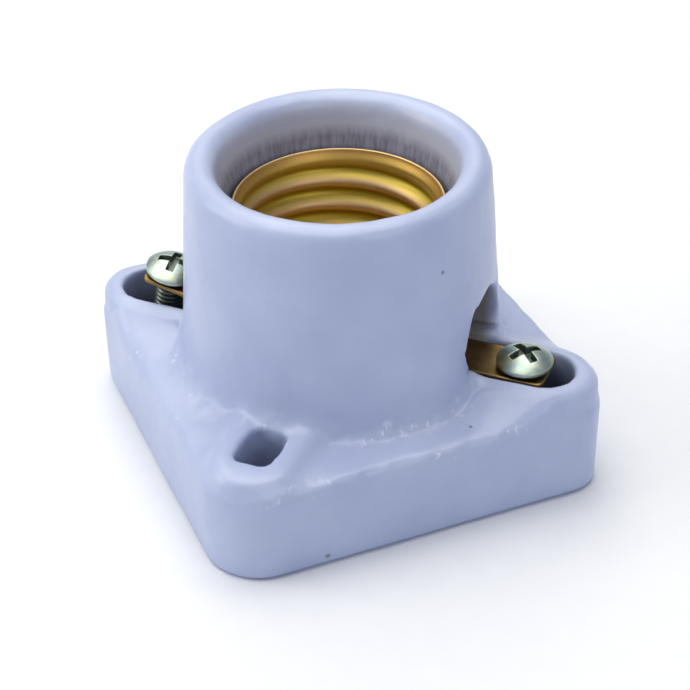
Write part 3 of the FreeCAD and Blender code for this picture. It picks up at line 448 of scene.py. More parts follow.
porcelain = {
    "voxel": 0.43,  # mm, grain of the mesh under the glaze
    "restHeight": 1.5,  # mm, up to which the underside stays level
    "glazePasses": 12,  # how far the glaze rounds the edges
    "poolPasses": 160,  # how far it fills the hollows, most beside the terminal bosses
    "poolShare": 0.35,  # of that all round the tower
    "poolZone": [  # mm, along each measure: from where no glaze pools to where all of it does
        ("radius", 17.5, 19), ("y", 4.3, 5.5), ("z", 9, 11), ("slot", 0.5, 1.2),
    ],
    "bossPoolZone": [("y", 12, 9), ("x", 19, 22)],
    "padSoftness": 0.12,  # of the pads' and bosses' sides
    "padZone": [("x", 10, 8), ("y", 21, 23), ("z", 12.4, 13.2), ("slot", 0.5, 1.2)],
    "bossZone": [("y", 10, 8), ("y", 4.5, 5.5), ("x", 21, 23), ("z", 12.4, 13.2)],
    "bossRamp": (16.4, 5.9, 2.6, 0.7),  # mm: height, half width and run of the slopes, and their share
    "rampZone": [("y", 5.3, 5.9), ("x", 20, 22.5), ("z", 11.5, 13)],
    "slot": (26.0, 2.6, 1.0),  # mm: distance, half width and half straight length of the mounting slots
    "slotSquareness": 4.2,  # exponent of their outline: 2 is an ellipse
    "slotZone": [("slot", 2.4, 0.2), ("slot", -1.5, -0.5)],
    "waveSize": 9.0,  # mm, slow unevenness of the pressed form
    "waveDepth": 0.15,
    "dimpleSize": 2.6,  # mm, run of the glaze
    "dimpleDepth": 0.05,
    "foot": (22.0, 14.3, 1.5),  # mm: radius and height of the tower's foot, and how wide its beads lie
    "footBead": (1.3, 0.2),  # mm: size and depth
    "edge": (26.4, 12.9, 0.8),  # mm: distance and height of the base's top edge, and the width again
    "edgeBead": (1.7, 0.3),
    "quietSides": 0.3,  # share of those beads on the sides away from the front right
    "arch": (6.0, 20.5, 1.5),  # mm: half width and spring of the windows, and the width of their rim
    "archFrom": (14.0, 17.8),  # mm: least distance and height of the rims
    "archRag": (3.0, 0.5),
    "archPinch": (1.0, 3.0),  # mm: how far the rim draws in at the windows' feet, and from how high
    "tint": "#adb8d8",
    "shadeTint": "#a2add0",
    "cloudSize": 10.0,
    "speck": "#474650",
    "speckSpacing": 5.5,
    "speckSize": 0.16,
    "speckShare": 0.16,
    "speckStrength": 0.6,
    "ironSpots": [  # mm: place and radius
        (9.6, -28.2, 1.6, 0.34), (22.3, -11.4, 13.2, 0.34), (17.6, -9.5, 34.2, 0.28),
    ],
    # tone and spread of the pale painted glints that stand in for highlights
    "glintTone": "#eef3ff",
    "glintSize": (0.9, 0.9, 1.6),  # mm
    "glintShare": (0.6, 0.7),  # of the noise that shows, from none to full
    "glintPatch": 6.0,
    "glintPatchShare": (0.49, 0.58),
    "glintStrength": 0.5,
    "boreEdge": 16.2,  # mm, radius where the bore's streaked staining and painted shade begin
    "boreWall": 15.0,
    # heights over which the staining and painted shade in the bore deepen
    "stainAndShadeTop": 38.6,
    "stainAndShadeDeep": 36.9,
    "streakSize": (0.5, 0.5, 7.0),
    "streakShare": (0.35, 0.65),  # of the noise, from the weakest streak to the strongest
    "stainAndShade": (0.55, 0.9),
    "stainAndShadeTone": "#6e6f85",
    "boreTone": "#bbbbc1",
    "boreGrey": 0.5,
    # painted shade on the windows' inner walls, browned as a painted reflection of the brass straps
    "windowShadeZone": (20.1, 18.9, 28.5, 27.0),  # mm: radii and heights between which the painted shade on the windows' inner walls begins
    "windowShadeTone": "#8d8784",
    "windowShade": 0.85,  # how much of its tone shows
    # painted shade deep in the terminal pockets and the mounting slots
    "hollowShade": [  # mm: middle and half width in X and in Y, brim and full depth, then tone and share
        ((25.0, 7.65, 0.0, 4.25, 15.6, 11.0), "#4f566c", 0.75),
        ((0.0, 3.2, 26.0, 4.1, 14.4, 10.0), "#7d838d", 0.4),
    ],
    "hollowShadeRim": 0.25,  # mm
    "rippleSize": 3.2,  # mm, of the glaze's surface
    "rippleDepth": 0.06,
    "peelSize": 1.1,  # mm, the finer ripple on it
    "peelDepth": 0.02,
    "roughness": 0.4,
    "ior": 1.5,
    "coat": 0.25,
    "coatRoughness": 0.1,
    "translucency": 0.08,
    "translucencyTint": (1.0, 0.9, 0.8),
    "translucencyDepth": 0.8,  # mm
}


def bell(distance, width):
    return math.exp(-((distance / width) ** 2))


def unevenness(place, look):
    # how far the glaze stands out, in mm: slow waves all over, beads at the foot and along the edge
    slow = noise.noise(place / look["waveSize"]) * look["waveDepth"]
    quick = noise.noise(place / look["dimpleSize"] + Vector((7, 3, 5))) * look["dimpleDepth"]
    radius, height, width = look["foot"]
    atFoot = bell(math.hypot(place.x, place.y) - radius, width) * bell(place.z - height, width)
    size, depth = look["footBead"]
    foot = noise.noise(place / size + Vector((1, 9, 4))) * depth * atFoot
    reach, height, width = look["edge"]
    aside = (abs(place.x) + abs(place.y)) / math.sqrt(2)
    atEdge = bell(aside - reach, width) * bell(place.z - height, width)
    share = 1.0 if place.x > 0 > place.y else look["quietSides"]
    size, depth = look["edgeBead"]
    edge = noise.noise(place / size + Vector((3, 2, 8))) * depth * share * atEdge
    return slow + quick + foot + edge


def raggedArch(place, look):
    # sideways shift of the windows' rims, which the glaze left ragged
    half, spring, width = look["arch"]
    inner, sill = look["archFrom"]
    outward = Vector((0, place.y, max(place.z - spring, 0)))
    atRim = bell(outward.length - half, width)
    if abs(place.x) < inner or place.z < sill or outward.length == 0:
        return Vector((0, 0, 0))
    size, depth = look["archRag"]
    rag = outward.normalized() * noise.noise(place / size + Vector((2, 6, 4))) * depth
    pinch, height = look["archPinch"]
    drawn = pinch * min(max((spring - place.z) / height, 0), 1) ** 2
    return (rag - outward.normalized() * drawn) * atRim


def ramp(values, start, end):
    return np.clip((values - start) / (end - start), 0, 1)


def zone(measures, fades):
    # how much each point takes part: the product of its fades from none to full
    share = 1.0
    for measure, none, full in fades:
        share = share * ramp(measures[measure], none, full)
    return share


def meshArrays(mesh):
    # places in mm, normals, and the two ends of each edge
    places = np.empty(len(mesh.vertices) * 3)
    normals = np.empty(len(mesh.vertices) * 3)
    ends = np.empty(len(mesh.edges) * 2, dtype=np.int32)
    mesh.vertices.foreach_get("co", places)
    mesh.vertices.foreach_get("normal", normals)
    mesh.edges.foreach_get("vertices", ends)
    return places.reshape(-1, 3) / mm, normals.reshape(-1, 3), ends.reshape(-1, 2)


def glazeMeasures(places, look):
    # the distances in mm that the zones go by, alike on both sides of the axes
    x, y, z = np.abs(places.T)
    distance, half, straight = look["slot"]
    along = y - distance
    fromSlot = np.hypot(places[:, 0], along - np.clip(along, -straight, straight)) - half
    return {"x": x, "y": y, "z": z, "radius": np.hypot(x, y), "along": along, "slot": fromSlot}


def slopeBosses(places, measures, look):
    # thick glaze slopes down beside the terminal bosses
    top, half, run, share = look["bossRamp"]
    beside = np.exp(-(np.maximum(measures["y"] - half, 0) / run) ** 2)
    rise = np.maximum(top - measures["z"], 0) * share
    places[:, 2] += rise * beside * zone(measures, look["rampZone"])


def poolGlaze(places, normals, ends, measures, look):
    # points move towards the middle of their neighbours: only outwards in the hollows, where the glaze
    # runs thick, and both ways on the pads and bosses, whose edges it drowns
    count = len(places)
    one, two = ends.T
    degree = np.bincount(ends.ravel(), minlength=count)[:, None]
    least = look["poolShare"]
    besideBosses = least + (1 - least) * zone(measures, look["bossPoolZone"])
    hollow = zone(measures, look["poolZone"]) * besideBosses
    soft = (zone(measures, look["padZone"]) + zone(measures, look["bossZone"])) * look["padSoftness"]
    for _ in range(look["poolPasses"]):
        middle = np.stack([
            np.bincount(one, line[two], count) + np.bincount(two, line[one], count) for line in places.T
        ], axis=1) / degree
        pull = middle - places
        outward = np.clip((pull * normals).sum(axis=1), 0, None)
        places += (normals * (outward * hollow)[:, None] + pull * soft[:, None]) / 2


def squareSlots(places, measures, look):
    # the slots' outline goes from the drilled one, round at its ends, to one with fuller corners
    half, straight = look["slot"][1:]
    power = look["slotSquareness"]
    along = measures["along"]
    reach = np.maximum(np.hypot(places[:, 0], along), 0.1)  # never quite none, as it divides
    across, lengthwise = places[:, 0] / reach, along / reach
    outline = (
        np.abs(across / half) ** power + np.abs(lengthwise / (half + straight)) ** power
    ) ** (-1 / power)
    rise = straight * np.abs(lengthwise)
    roundEnd = rise + np.sqrt(rise ** 2 + half ** 2 - straight ** 2)
    flatSide = half / np.maximum(np.abs(across), 0.01)
    drilled = np.where(flatSide * np.abs(lengthwise) < straight, flatSide, roundEnd)
    push = (outline - drilled) * zone(measures, look["slotZone"])
    places[:, 0] += push * across
    places[:, 1] += push * lengthwise * np.sign(places[:, 1])


def makePorcelain():
    look = porcelain
    piece = softened(
        "porcelain_glazed_body", mergedCopy("porcelain_body"), look["voxel"] * mm, look["glazePasses"]
    )
    mesh = piece.data
    places, normals, ends = meshArrays(mesh)
    measures = glazeMeasures(places, look)
    slopeBosses(places, measures, look)
    poolGlaze(places, normals, ends, measures, look)
    squareSlots(places, measures, look)
    mesh.vertices.foreach_set("co", (places * mm).ravel())
    mesh.update()
    glazed = [vertex.normal.copy() for vertex in mesh.vertices]
    for vertex, normal in zip(mesh.vertices, glazed):
        place = vertex.co / mm
        rest = min(max(place.z / look["restHeight"], 0), 1)
        vertex.co += (normal * unevenness(place, look) * rest + raggedArch(place, look)) * mm
    mesh.update()
    dress(piece, glazedPorcelain(look), "holder", "glazed_porcelain", "porcelain_body")
    return piece


glazedBody = makePorcelain()
print("porcelain body glazed:", len(glazedBody.data.polygons), "faces")


# Screw shell with its rolled thread

shellLook = {
    "crest": 12.2,  # mm, radius inside the thread's crests
    "groove": 13.4,  # mm, radius inside the grooves
    # from crest to groove: the crests' pale tone is a painted highlight, the grooves' olive partly
    # tarnish, partly painted shade
    "tones": [(0.0, "#debfa0"), (0.25, "#d6b978"), (0.6, "#ccb558"), (1.0, "#c3b03c")],
    "lipStart": 33.9,  # mm, heights between which each other tone comes in
    "lipFull": 34.9,
    "lipTone": "#cba25c",
    "rollStart": 35.15,
    "rollFull": 35.4,
    "rollTone": "#dcbd8c",
    "bendTop": 18.9,
    "flangeTop": 18.0,
    "flangeTone": "#bf9a55",
    "film": 0.25,
    "filmTone": "#c2a656",
    "blotchSize": 5.0,
    "lineSize": (14.0, 14.0, 0.16),  # mm, of the spinning lines: long round the shell
    "lineDepth": 0.004,
    "roughness": (0.44, 0.56),
}
shellForm = {
    "sides": 240,
    "flareSteps": 14,
    "rollSteps": 8,
    "bendSteps": 8,
    "notchSteps": 12,
    "sharpAngle": 40,  # degrees
    "step": 0.14,  # mm between rings on the wall
    "bottom": 17.5,
    "sheet": 0.35,
    "bend": 0.9,
    "radius": 12.75,
    "wave": 0.6,
    "pitch": 3.629,
    "crestHeight": 31.05,
    "crestAngle": 113.0,  # degrees, where the thread's crest is at that height
    "runOut": 1.6,
    "neck": 34.1,
    "lip": 35.6,
    "lipRadius": 13.7,
    "hole": 6.0,
    "ring": 10.6,
    "notch": 4.8,
    "fixingRadius": 8.9,
    "fixingHole": 1.6,
    "fixingTurns": (180, 60, -60),
}


def shellProfile(form):
    # the wall's outer line from the bend to the rolled lip, then its inner line back down
    start = form["bottom"] + form["sheet"] + form["bend"]
    wall = [start + i * form["step"] for i in range(int((form["neck"] - start) / form["step"]) + 1)]
    outer = [(form["radius"] + form["sheet"], z) for z in wall]
    inner = [(form["radius"], z) for z in wall]
    reach = form["lipRadius"] - form["sheet"] - form["radius"]
    rise = form["lip"] - form["neck"] - form["sheet"] / 2
    for i in range(1, form["flareSteps"] + 1):
        t = i / form["flareSteps"]
        ease = t * t * (3 - 2 * t)
        z = form["neck"] + rise * t
        outer.append((form["radius"] + form["sheet"] + reach * ease, z))
        inner.append((form["radius"] + reach * ease, z))
    half = form["sheet"] / 2
    middle = form["lipRadius"] - half
    top = form["neck"] + rise
    roll = []
    for i in range(1, form["rollSteps"]):
        angle = math.pi * i / form["rollSteps"]
        roll.append((middle + half * math.cos(angle), top + half * math.sin(angle)))
    return outer + roll + inner[::-1]


def turnedMesh(name, profile, sides):
    # a closed profile of (radius, height) in mm turned about the axis
    work = bmesh.new()
    rings = []
    for radius, height in profile:
        ring = []
        for i in range(sides):
            angle = 2 * math.pi * i / sides
            ring.append(work.verts.new(
                (radius * math.cos(angle) * mm, radius * math.sin(angle) * mm, height * mm)
            ))
        rings.append(ring)
    for low, high in zip(rings, rings[1:] + rings[:1]):
        for i in range(sides):
            after = (i + 1) % sides
            work.faces.new((low[i], low[after], high[after], high[i]))
    bmesh.ops.recalc_face_normals(work, faces=work.faces)
    mesh = bpy.data.meshes.new(name)
    work.to_mesh(mesh)
    work.free()
    return mesh


def lampThreadTree():
    # moves each level circle of the wall sideways, once round per pitch: the rolled lamp thread
    tree, given = newTree("lampThread", [
        ("Pitch", "Float"), ("Depth", "Float"), ("Start", "Float"), ("End", "Float"),
        ("Run out", "Float"), ("Crest height", "Float"), ("Crest angle", "Float"),
        ("Material", "Material"),
    ])
    place = addNode(tree, "GeometryNodeInputPosition").outputs[0]
    height = addNode(tree, "ShaderNodeSeparateXYZ", {"Vector": place}).outputs[2]
    rise = addMath(tree, "DIVIDE", addMath(tree, "SUBTRACT", height, given["Start"]), given["Run out"])
    fall = addMath(tree, "DIVIDE", addMath(tree, "SUBTRACT", given["End"], height), given["Run out"])
    least = addMath(tree, "MINIMUM", addMath(tree, "MINIMUM", rise, fall), 1.0)
    fade = addMath(tree, "MAXIMUM", least, 0.0)
    square = addMath(tree, "MULTIPLY", fade, fade)
    twice = addMath(tree, "MULTIPLY", fade, 2.0)
    eased = addMath(tree, "MULTIPLY", square, addMath(tree, "SUBTRACT", 3.0, twice))
    depth = addMath(tree, "MULTIPLY", eased, given["Depth"])
    climb = addMath(tree, "SUBTRACT", height, given["Crest height"])
    turns = addMath(tree, "DIVIDE", climb, given["Pitch"])
    around = addMath(tree, "MULTIPLY", turns, 2 * math.pi)
    angle = addMath(tree, "ADD", addMath(tree, "ADD", around, given["Crest angle"]), math.pi)
    aside = addNode(tree, "ShaderNodeCombineXYZ", {
        "X": addMath(tree, "MULTIPLY", depth, addMath(tree, "COSINE", angle)),
        "Y": addMath(tree, "MULTIPLY", depth, addMath(tree, "SINE", angle)),
    })
    moved = addNode(
        tree, "GeometryNodeSetPosition", {"Geometry": given["Geometry"], "Offset": aside.outputs[0]}
    )
    smooth = addNode(tree, "GeometryNodeSetShadeSmooth", {"Geometry": moved.outputs[0]})
    endTree(tree, smooth.outputs[0], given["Material"])
    return tree


def cutAway(piece, tools):
    # takes simple closed forms out of a piece, and removes them
    for tool in tools:
        cutter = meshObject("cutter", tool)
        modifier = piece.modifiers.new("cut", "BOOLEAN")
        modifier.operation = "DIFFERENCE"
        modifier.object = cutter
    applied(piece)
    for tool in tools:
        for thing in [o for o in bpy.data.objects if o.data == tool]:
            bpy.data.objects.remove(thing)
    return piece


def discMesh(radius, low, high, x, y, sides=48):
    # an upright cylinder between two heights
    work = bmesh.new()
    bmesh.ops.create_cone(
        work, cap_ends=True, segments=sides, radius1=radius * mm, radius2=radius * mm,
        depth=(high - low) * mm, matrix=Matrix.Translation((x * mm, y * mm, (low + high) / 2 * mm)),
    )
    mesh = bpy.data.meshes.new("disc")
    work.to_mesh(mesh)
    work.free()
    return mesh


def sectorMesh(form):
    # the notch over the centre strap: a straight-sided tongue with the ring's inner curve at its end
    half, reach = form["notch"], form["ring"]
    limit = math.asin(half / reach)
    outline = [(0.0, half), (0.0, -half)]
    for i in range(form["notchSteps"] + 1):
        angle = limit * (2 * i / form["notchSteps"] - 1)
        outline.append((reach * math.cos(angle), reach * math.sin(angle)))
    work = bmesh.new()
    low, high = form["bottom"] - 1, form["bottom"] + form["sheet"] + 1
    floor = [work.verts.new((x * mm, y * mm, low * mm)) for x, y in outline]
    work.faces.new(floor)
    sweep = bmesh.ops.extrude_face_region(work, geom=work.faces[:])
    bmesh.ops.translate(
        work, vec=(0, 0, (high - low) * mm),
        verts=[v for v in sweep["geom"] if isinstance(v, bmesh.types.BMVert)],
    )
    bmesh.ops.recalc_face_normals(work, faces=work.faces)
    mesh = bpy.data.meshes.new("notch")
    work.to_mesh(mesh)
    work.free()
    return mesh


def shellBottom(form):
    low, sheet, bend = form["bottom"], form["sheet"], form["bend"]
    outerBend, innerBend = bend + sheet / 2, bend - sheet / 2
    wall, top = form["radius"], low + sheet + bend
    profile = [(form["hole"], low)]
    steps = form["bendSteps"]
    for i in range(steps + 1):
        angle = -math.pi / 2 + math.pi / 2 * i / steps
        profile.append((
            wall + sheet - outerBend + outerBend * math.cos(angle),
            low + outerBend + outerBend * math.sin(angle),
        ))
    profile += [(wall + sheet, top), (wall, top)]
    for i in range(steps + 1):
        angle = -math.pi / 2 * i / steps
        profile.append((
            wall - innerBend + innerBend * math.cos(angle),
            low + sheet + innerBend + innerBend * math.sin(angle),
        ))
    profile.append((form["hole"], low + sheet))
    piece = meshObject("shell_bottom", turnedMesh("shell_bottom", profile, form["sides"]))
    tools = [sectorMesh(form)]
    for turn in form["fixingTurns"]:
        angle = math.radians(turn)
        x, y = form["fixingRadius"] * math.cos(angle), form["fixingRadius"] * math.sin(angle)
        tools.append(discMesh(form["fixingHole"], low - 1, low + sheet + 1, x, y))
    return cutAway(piece, tools)


def joinPieces(name, *pieces):
    work = bmesh.new()
    for piece in pieces:
        work.from_mesh(piece.data)
    bmesh.ops.remove_doubles(work, verts=work.verts, dist=weldGap)
    mesh = bpy.data.meshes.new(name)
    work.to_mesh(mesh)
    work.free()
    for piece in pieces:
        bpy.data.objects.remove(piece)
    return meshObject(name, mesh)


def makeShell():
    form = shellForm
    brass = rolledBrass(shellLook)
    wall = meshObject("shell_wall", turnedMesh("shell_wall", shellProfile(form), form["sides"]))
    start = form["bottom"] + form["sheet"] + form["bend"]
    grow(wall, lampThreadTree(), {
        "Pitch": form["pitch"] * mm,
        "Depth": form["wave"] * mm,
        "Start": start * mm,
        "End": form["neck"] * mm,
        "Run out": form["runOut"] * mm,
        "Crest height": form["crestHeight"] * mm,
        "Crest angle": math.radians(form["crestAngle"]),
        "Material": brass,
    })
    piece = joinPieces("brass_screw_shell", wall, shellBottom(form))
    for polygon in piece.data.polygons:
        polygon.use_smooth = True
    piece.data.set_sharp_from_angle(angle=math.radians(form["sharpAngle"]))
    dress(piece, brass, "holder", "shell_brass", "screw_shell")
    return piece


brassShell = makeShell()
print("screw shell rolled:", len(brassShell.data.polygons), "faces")


# Straps and centre contact

strapLook = {
    "voxel": 0.13,
    "passes": 3,
    "blotchSize": 3.0,
    "tones": [(0.3, "#7b6540"), (0.55, "#957a4c"), (0.75, "#ab8f5f")],
    "grainSize": (3.0, 0.12, 0.12),
    "grainDepth": 0.004,
    "roughness": (0.28, 0.45),
    "paintedShadeTone": "#3d3223",
}
leafLook = {
    "voxel": 0.09,
    "passes": 2,
    "blotchSize": 2.5,
    "tones": [(0.3, "#b3924f"), (0.7, "#cfae68")],
    "grainSize": (2.5, 0.1, 0.1),
    "grainDepth": 0.003,
    "roughness": (0.2, 0.32),
    "paintedShadeTone": "#3d3223",
    "bendStart": (2.9, 0.0, 16.3),  # mm, where the leaf leaves its clamped root
    "bendEnd": (0.6, 0.0, 16.3),
}


def makeStraps():
    brass = metalSheet("stampedStrapBrass", strapLook)
    pieces = []
    for node in ("centre_strap", "shell_strap"):
        name = node + "_stamped"
        piece = softened(name, mergedCopy(node), strapLook["voxel"] * mm, strapLook["passes"])
        dress(piece, brass, "holder", "strap_brass", node)
        pieces.append(piece)
    return pieces


def makeLeaf():
    look = leafLook
    piece = softened("contact_leaf", mergedCopy("centre_contact"), look["voxel"] * mm, look["passes"])
    dress(piece, metalSheet("springLeafBrass", look), None, "spring_brass", "centre_contact")
    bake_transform(piece)
    return piece


stampings = makeStraps() + [makeLeaf()]
print("straps and contact leaf stamped:", len(stampings), "pieces")


# Screws, washers and nuts

terminalLook = {
    "voxel": 0.07,
    "passes": 3,
    "radius": 2.0,  # mm, M4
    "pitch": 0.7,
    "threadDepth": 0.24,
    "threadStart": -9.6,  # mm, below the head's seat
    "threadEnd": -0.35,
    "crossTurn": {"left": 8.0, "right": 50.0},  # degrees, as the slots were left
    "blotchSize": 1.8,
    "tones": [(0.3, "#9db0ae"), (0.5, "#b9c6bc"), (0.7, "#c9d2ac")],
    "grainSize": (0.5, 0.5, 0.5),
    "grainDepth": 0.004,
    "roughness": (0.34, 0.46),
    "head": (3.7, 1.4, 1.9),  # mm: radius, rise of the dome and height
    "recess": (0.3, 2.6),  # mm: height of its floor, and radius
    "recessShadeDepth": (0.08, 0.35),  # mm below the dome, where the painted shade begins and over what it deepens
    "shankTop": -0.1,
    # painted shade in the cross recess and on the thread below the head
    "recessShade": 0.6,
    "threadShade": 0.75,
    "paintedShadeTone": "#2f3531",
}
fixingLook = {
    "voxel": 0.12,
    "passes": 2,
    "radius": 1.5,  # mm, M3
    "pitch": 0.5,
    "threadDepth": 0.16,
    "threadStart": -11.6,
    "threadEnd": -0.3,
    "count": 3,
    "circle": 8.9,
    "firstAngle": 180.0,
    "seed": 4,
    "headHeight": 1.9,
    "blotchSize": 2.0,
    "tones": [(0.3, "#a4a9a4"), (0.7, "#c9cac2")],
    "grainSize": (0.5, 0.5, 0.5),
    "grainDepth": 0.004,
    "roughness": (0.34, 0.46),
    "paintedShadeTone": "#2f3531",
}


def screwThreadTree():
    # presses a right-hand V thread into an upright shank about the Z axis
    tree, given = newTree("screwThread", [
        ("Radius", "Float"), ("Pitch", "Float"), ("Depth", "Float"), ("Start", "Float"),
        ("End", "Float"), ("Material", "Material"),
    ])
    place = addNode(tree, "GeometryNodeInputPosition").outputs[0]
    parts = addNode(tree, "ShaderNodeSeparateXYZ", {"Vector": place}).outputs
    flat = addNode(tree, "ShaderNodeCombineXYZ", {"X": parts[0], "Y": parts[1]}).outputs[0]
    radius = addNode(tree, "ShaderNodeVectorMath", {0: flat}, operation="LENGTH").outputs["Value"]
    turn = addMath(tree, "DIVIDE", addMath(tree, "ARCTAN2", parts[1], parts[0]), 2 * math.pi)
    wound = addMath(tree, "SUBTRACT", addMath(tree, "DIVIDE", parts[2], given["Pitch"]), turn)
    groove = addMath(tree, "PINGPONG", wound, 0.5)
    depth = addMath(tree, "MULTIPLY", addMath(tree, "MULTIPLY", groove, 2.0), given["Depth"])
    above = addMath(tree, "GREATER_THAN", parts[2], given["Start"])
    below = addMath(tree, "LESS_THAN", parts[2], given["End"])
    core = addMath(tree, "MULTIPLY", given["Radius"], 0.85)
    onWall = addMath(tree, "GREATER_THAN", radius, core)
    chosen = addMath(tree, "MULTIPLY", addMath(tree, "MULTIPLY", above, below), onWall)
    outward = addNode(tree, "ShaderNodeVectorMath", {0: flat}, operation="NORMALIZE").outputs[0]
    back = addMath(tree, "MULTIPLY", addMath(tree, "MULTIPLY", depth, chosen), -1.0)
    offset = addNode(
        tree, "ShaderNodeVectorMath", {0: outward, "Scale": back}, operation="SCALE"
    ).outputs[0]
    moved = addNode(tree, "GeometryNodeSetPosition", {"Geometry": given["Geometry"], "Offset": offset})
    endTree(tree, moved.outputs[0], given["Material"])
    return tree


def fixingRingTree():
    # the same screw, washer and nut at equal angles round the axis, each turned its own way
    tree, given = newTree("fixingRing", [
        ("Count", "Int"), ("Circle", "Float"), ("First angle", "Float"), ("Seed", "Int"),
        ("Material", "Material"),
    ])
    ring = addNode(
        tree, "GeometryNodeMeshCircle", {"Vertices": given["Count"], "Radius": given["Circle"]}
    )
    spun = addNode(tree, "ShaderNodeCombineXYZ", {"Z": given["First angle"]})
    turned = addNode(
        tree, "GeometryNodeTransform", {"Geometry": ring.outputs[0], "Rotation": spun.outputs[0]}
    )
    chance = addNode(
        tree, "FunctionNodeRandomValue", {"Max": 2 * math.pi, "Seed": given["Seed"]}, data_type="FLOAT"
    )
    chanceValue = next(o for o in chance.outputs if o.enabled)
    own = addNode(tree, "ShaderNodeCombineXYZ", {"Z": chanceValue})
    copies = addNode(
        tree, "GeometryNodeInstanceOnPoints",
        {"Points": turned.outputs[0], "Instance": given["Geometry"], "Rotation": own.outputs[0]},
    )
    endTree(tree, copies.outputs[0], given["Material"])
    return tree


def screwPiece(name, node, origin, tilt, look, tree, material):
    # a softened copy of a screw in its own upright frame, with its thread pressed in
    mesh = mergedCopy(node)
    mesh.transform((Matrix.Translation(origin) @ tilt).inverted())
    piece = softened(name, mesh, look["voxel"] * mm, look["passes"])
    return grow(piece, tree, {
        "Radius": look["radius"] * mm,
        "Pitch": look["pitch"] * mm,
        "Depth": look["threadDepth"] * mm,
        "Start": look["threadStart"] * mm,
        "End": look["threadEnd"] * mm,
        "Material": material,
    })


def markGrime(mesh, look):
    # painted shade below the dome's surface in the cross recess, and between the threads
    radius, rise, height = look["head"]
    floor, reach = look["recess"]
    begin, thicken = look["recessShadeDepth"]
    bow = (radius ** 2 + rise ** 2) / (2 * rise)
    paintedShade = mesh.attributes.new("paintedShade", "FLOAT", "POINT")
    for vertex, mark in zip(mesh.vertices, paintedShade.data):
        x, y, z = vertex.co / mm
        out = min(math.hypot(x, y), radius)
        depth = height - bow + math.sqrt(bow ** 2 - out ** 2) - z
        if z < look["shankTop"]:
            mark.value = look["threadShade"]
        elif z > floor and out < reach:
            mark.value = min(max((depth - begin) / thicken, 0), 1) * look["recessShade"]


def makeTerminalScrews(tree):
    look = terminalLook
    zinc = metalSheet("zincPlatedScrewSteel", look)
    pieces = []
    for side in ("left", "right"):
        joint = next(j for j in frame["joints"] if j["name"] == side + "_terminal_turn")
        origin = Vector(joint["pos_m"])
        tilt = Vector((0, 0, 1)).rotation_difference(Vector(joint["axis"])).to_matrix().to_4x4()
        node = "terminal_screw_" + side
        piece = screwPiece("plated_" + node, node, origin, tilt, look, tree, zinc)
        markGrime(piece.data, look)
        turn = Matrix.Rotation(math.radians(look["crossTurn"][side]), 4, "Z")
        piece.data.transform(Matrix.Translation(origin) @ tilt @ turn)
        dress(piece, zinc, side + "_terminal", "zinc_plated_steel", node)
        pieces.append(piece)
    return pieces


def nodeCentre(node):
    low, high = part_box(node)
    return (low + high) / 2


def makeFixings(tree):
    look = fixingLook
    steel = metalSheet("zincPlatedFixingSteel", look)
    pieces = []
    for label, nodes in (
        ("shell", ["shell_screw_1", "shell_washer_1", "shell_nut_1"]),
        ("centre", ["centre_screw", "centre_washer", "centre_nut"]),
    ):
        middle = nodeCentre(nodes[0])
        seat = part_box(nodes[0])[1].z - look["headHeight"] * mm
        origin = Vector((middle.x, middle.y, seat))
        upright = Matrix.Identity(4)
        parts = [screwPiece(label + "_screw_one", nodes[0], origin, upright, look, tree, steel)]
        for node in nodes[1:]:
            mesh = mergedCopy(node)
            mesh.transform(Matrix.Translation(-origin))
            parts.append(softened(node + "_one", mesh, look["voxel"] * mm, look["passes"]))
        stack = joinPieces(label + "_fixings", *parts)
        if label == "shell":
            replaced = [n.replace("1", str(k)) for n in nodes for k in (1, 2, 3)]
            grow(stack, fixingRingTree(), {
                "Count": look["count"],
                "Circle": look["circle"] * mm,
                "First angle": math.radians(look["firstAngle"]),
                "Seed": look["seed"],
                "Material": steel,
            })
            stack.data.transform(Matrix.Translation((0, 0, origin.z)))
        else:
            replaced = nodes
            stack.data.transform(Matrix.Translation(origin))
        for polygon in stack.data.polygons:
            polygon.use_smooth = True
        dress(stack, steel, "holder", "fixing_steel", *replaced)
        pieces.append(stack)
    return pieces


screwTree = screwThreadTree()
terminalScrews = makeTerminalScrews(screwTree)
fixings = makeFixings(screwTree)
print("screws threaded:", len(terminalScrews), "terminal screws,", len(fixings), "sets of fixings")


# Floor, light and camera

studio = {
    "floorColour": "#e4e7ee",
    "floorShade": "#e0e3eb",
    "floorGrain": 300.0,  # to the metre
    "floorRoughness": 0.9,
    "floorRadius": 0.55,  # metres
    "worldColour": "#7a8193",
    "wallColour": "#dfe3ea",  # of the pale wall all round, level with the floor
    "wallReach": (0.08, 0.22),  # sines of the angles up to which it is full, and where it ends
    "lampAim": (0, 0, 0.02),  # metres
}
lamps = {
    "topSoftbox": {"place": (-0.12, 0.05, 0.6), "size": 0.7, "power": 4.9, "colour": "#fffaea"},
    "backSoftbox": {"place": (-0.22, 0.52, 0.42), "size": 0.5, "power": 0.6, "colour": "#fffaea"},
    "leftSoftbox": {"place": (-0.5, -0.25, 0.3), "size": 0.35, "power": 1.25, "colour": "#fffcf4"},
    "rightSoftbox": {"place": (0.45, -0.3, 0.35), "size": 0.3, "power": 0.5, "colour": "#fffdf8"},
}
# the photograph's camera: distances in mm, angles in degrees
photoCamera = {
    "azimuth": 23.0,
    "elevation": 34.84,
    "roll": -1.07,
    "aside": -0.25,
    "above": -10.62,
    "distance": 251.42,
    "lens": 94.53,
    "sensor": 36,
    "nearest": 10,
}


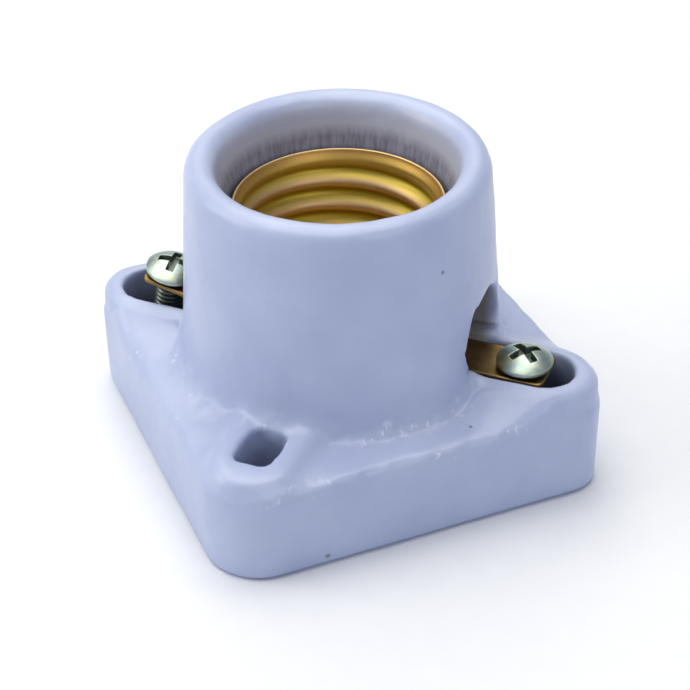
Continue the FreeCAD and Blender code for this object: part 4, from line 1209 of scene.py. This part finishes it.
def makeFloor():
    work = bmesh.new()
    bmesh.ops.create_circle(work, cap_ends=True, segments=128, radius=studio["floorRadius"])
    mesh = bpy.data.meshes.new("floor")
    work.to_mesh(mesh)
    work.free()
    floor = meshObject("studio_floor", mesh)
    # pale matte paper, barely clouded by its fibres
    material, tree, shader, where = newMaterial("matteStudioPaper")
    grain = addNode(tree, "ShaderNodeTexNoise", {
        "Vector": where, "Scale": studio["floorGrain"], "Detail": 2.0,
    })
    shades = [(0.0, studio["floorShade"]), (1.0, studio["floorColour"])]
    colour = addRamp(tree, grain.outputs["Fac"], shades)
    tree.links.new(colour, shader.inputs["Base Color"])
    shader.inputs["Roughness"].default_value = studio["floorRoughness"]
    mesh.materials.append(material)


def makeLights():
    world = bpy.data.worlds.new("studio")
    bpy.context.scene.world = world
    world.use_nodes = True
    tree = world.node_tree
    toward = addNode(tree, "ShaderNodeTexCoord").outputs["Generated"]
    height = addNode(tree, "ShaderNodeSeparateXYZ", {"Vector": toward}).outputs[2]
    full, end = studio["wallReach"]
    wall = addNode(tree, "ShaderNodeMapRange", {
        "Value": addMath(tree, "ABSOLUTE", height), "From Min": end, "From Max": full,
    })
    shades = [(0.0, studio["worldColour"]), (1.0, studio["wallColour"])]
    tree.links.new(addRamp(tree, wall.outputs[0], shades), tree.nodes["Background"].inputs["Color"])
    for name, lamp in lamps.items():
        light = bpy.data.lights.new(name, "AREA")
        light.energy = lamp["power"]
        light.size = lamp["size"]
        light.color = hexColour(lamp["colour"])[:3]
        holder = bpy.data.objects.new(name, light)
        holder.location = lamp["place"]
        aim = Vector(studio["lampAim"]) - holder.location
        holder.rotation_euler = aim.to_track_quat("-Z", "Y").to_euler()
        bpy.context.scene.collection.objects.link(holder)


def makeCamera():
    view = photoCamera
    a, e, roll = (math.radians(view[key]) for key in ("azimuth", "elevation", "roll"))
    back = Vector((math.sin(a) * math.cos(e), -math.cos(a) * math.cos(e), math.sin(e)))
    level = Vector((math.cos(a), math.sin(a), 0))
    upward = back.cross(level)
    right = math.cos(roll) * level + math.sin(roll) * upward
    up = -math.sin(roll) * level + math.cos(roll) * upward
    camera = bpy.data.objects.new("photo_camera", bpy.data.cameras.new("photo_camera"))
    place = (back * view["distance"] - right * view["aside"] - up * view["above"]) * mm
    turned = Matrix((right, up, back)).transposed().to_4x4()
    camera.matrix_world = Matrix.Translation(place) @ turned
    camera.data.lens = view["lens"]
    camera.data.sensor_width = view["sensor"]
    camera.data.clip_start = view["nearest"] * mm
    bpy.context.scene.collection.objects.link(camera)
    bpy.context.scene.camera = camera


makeFloor()
makeLights()
makeCamera()
bpy.context.scene.view_settings.view_transform = "Standard"
print("studio set")
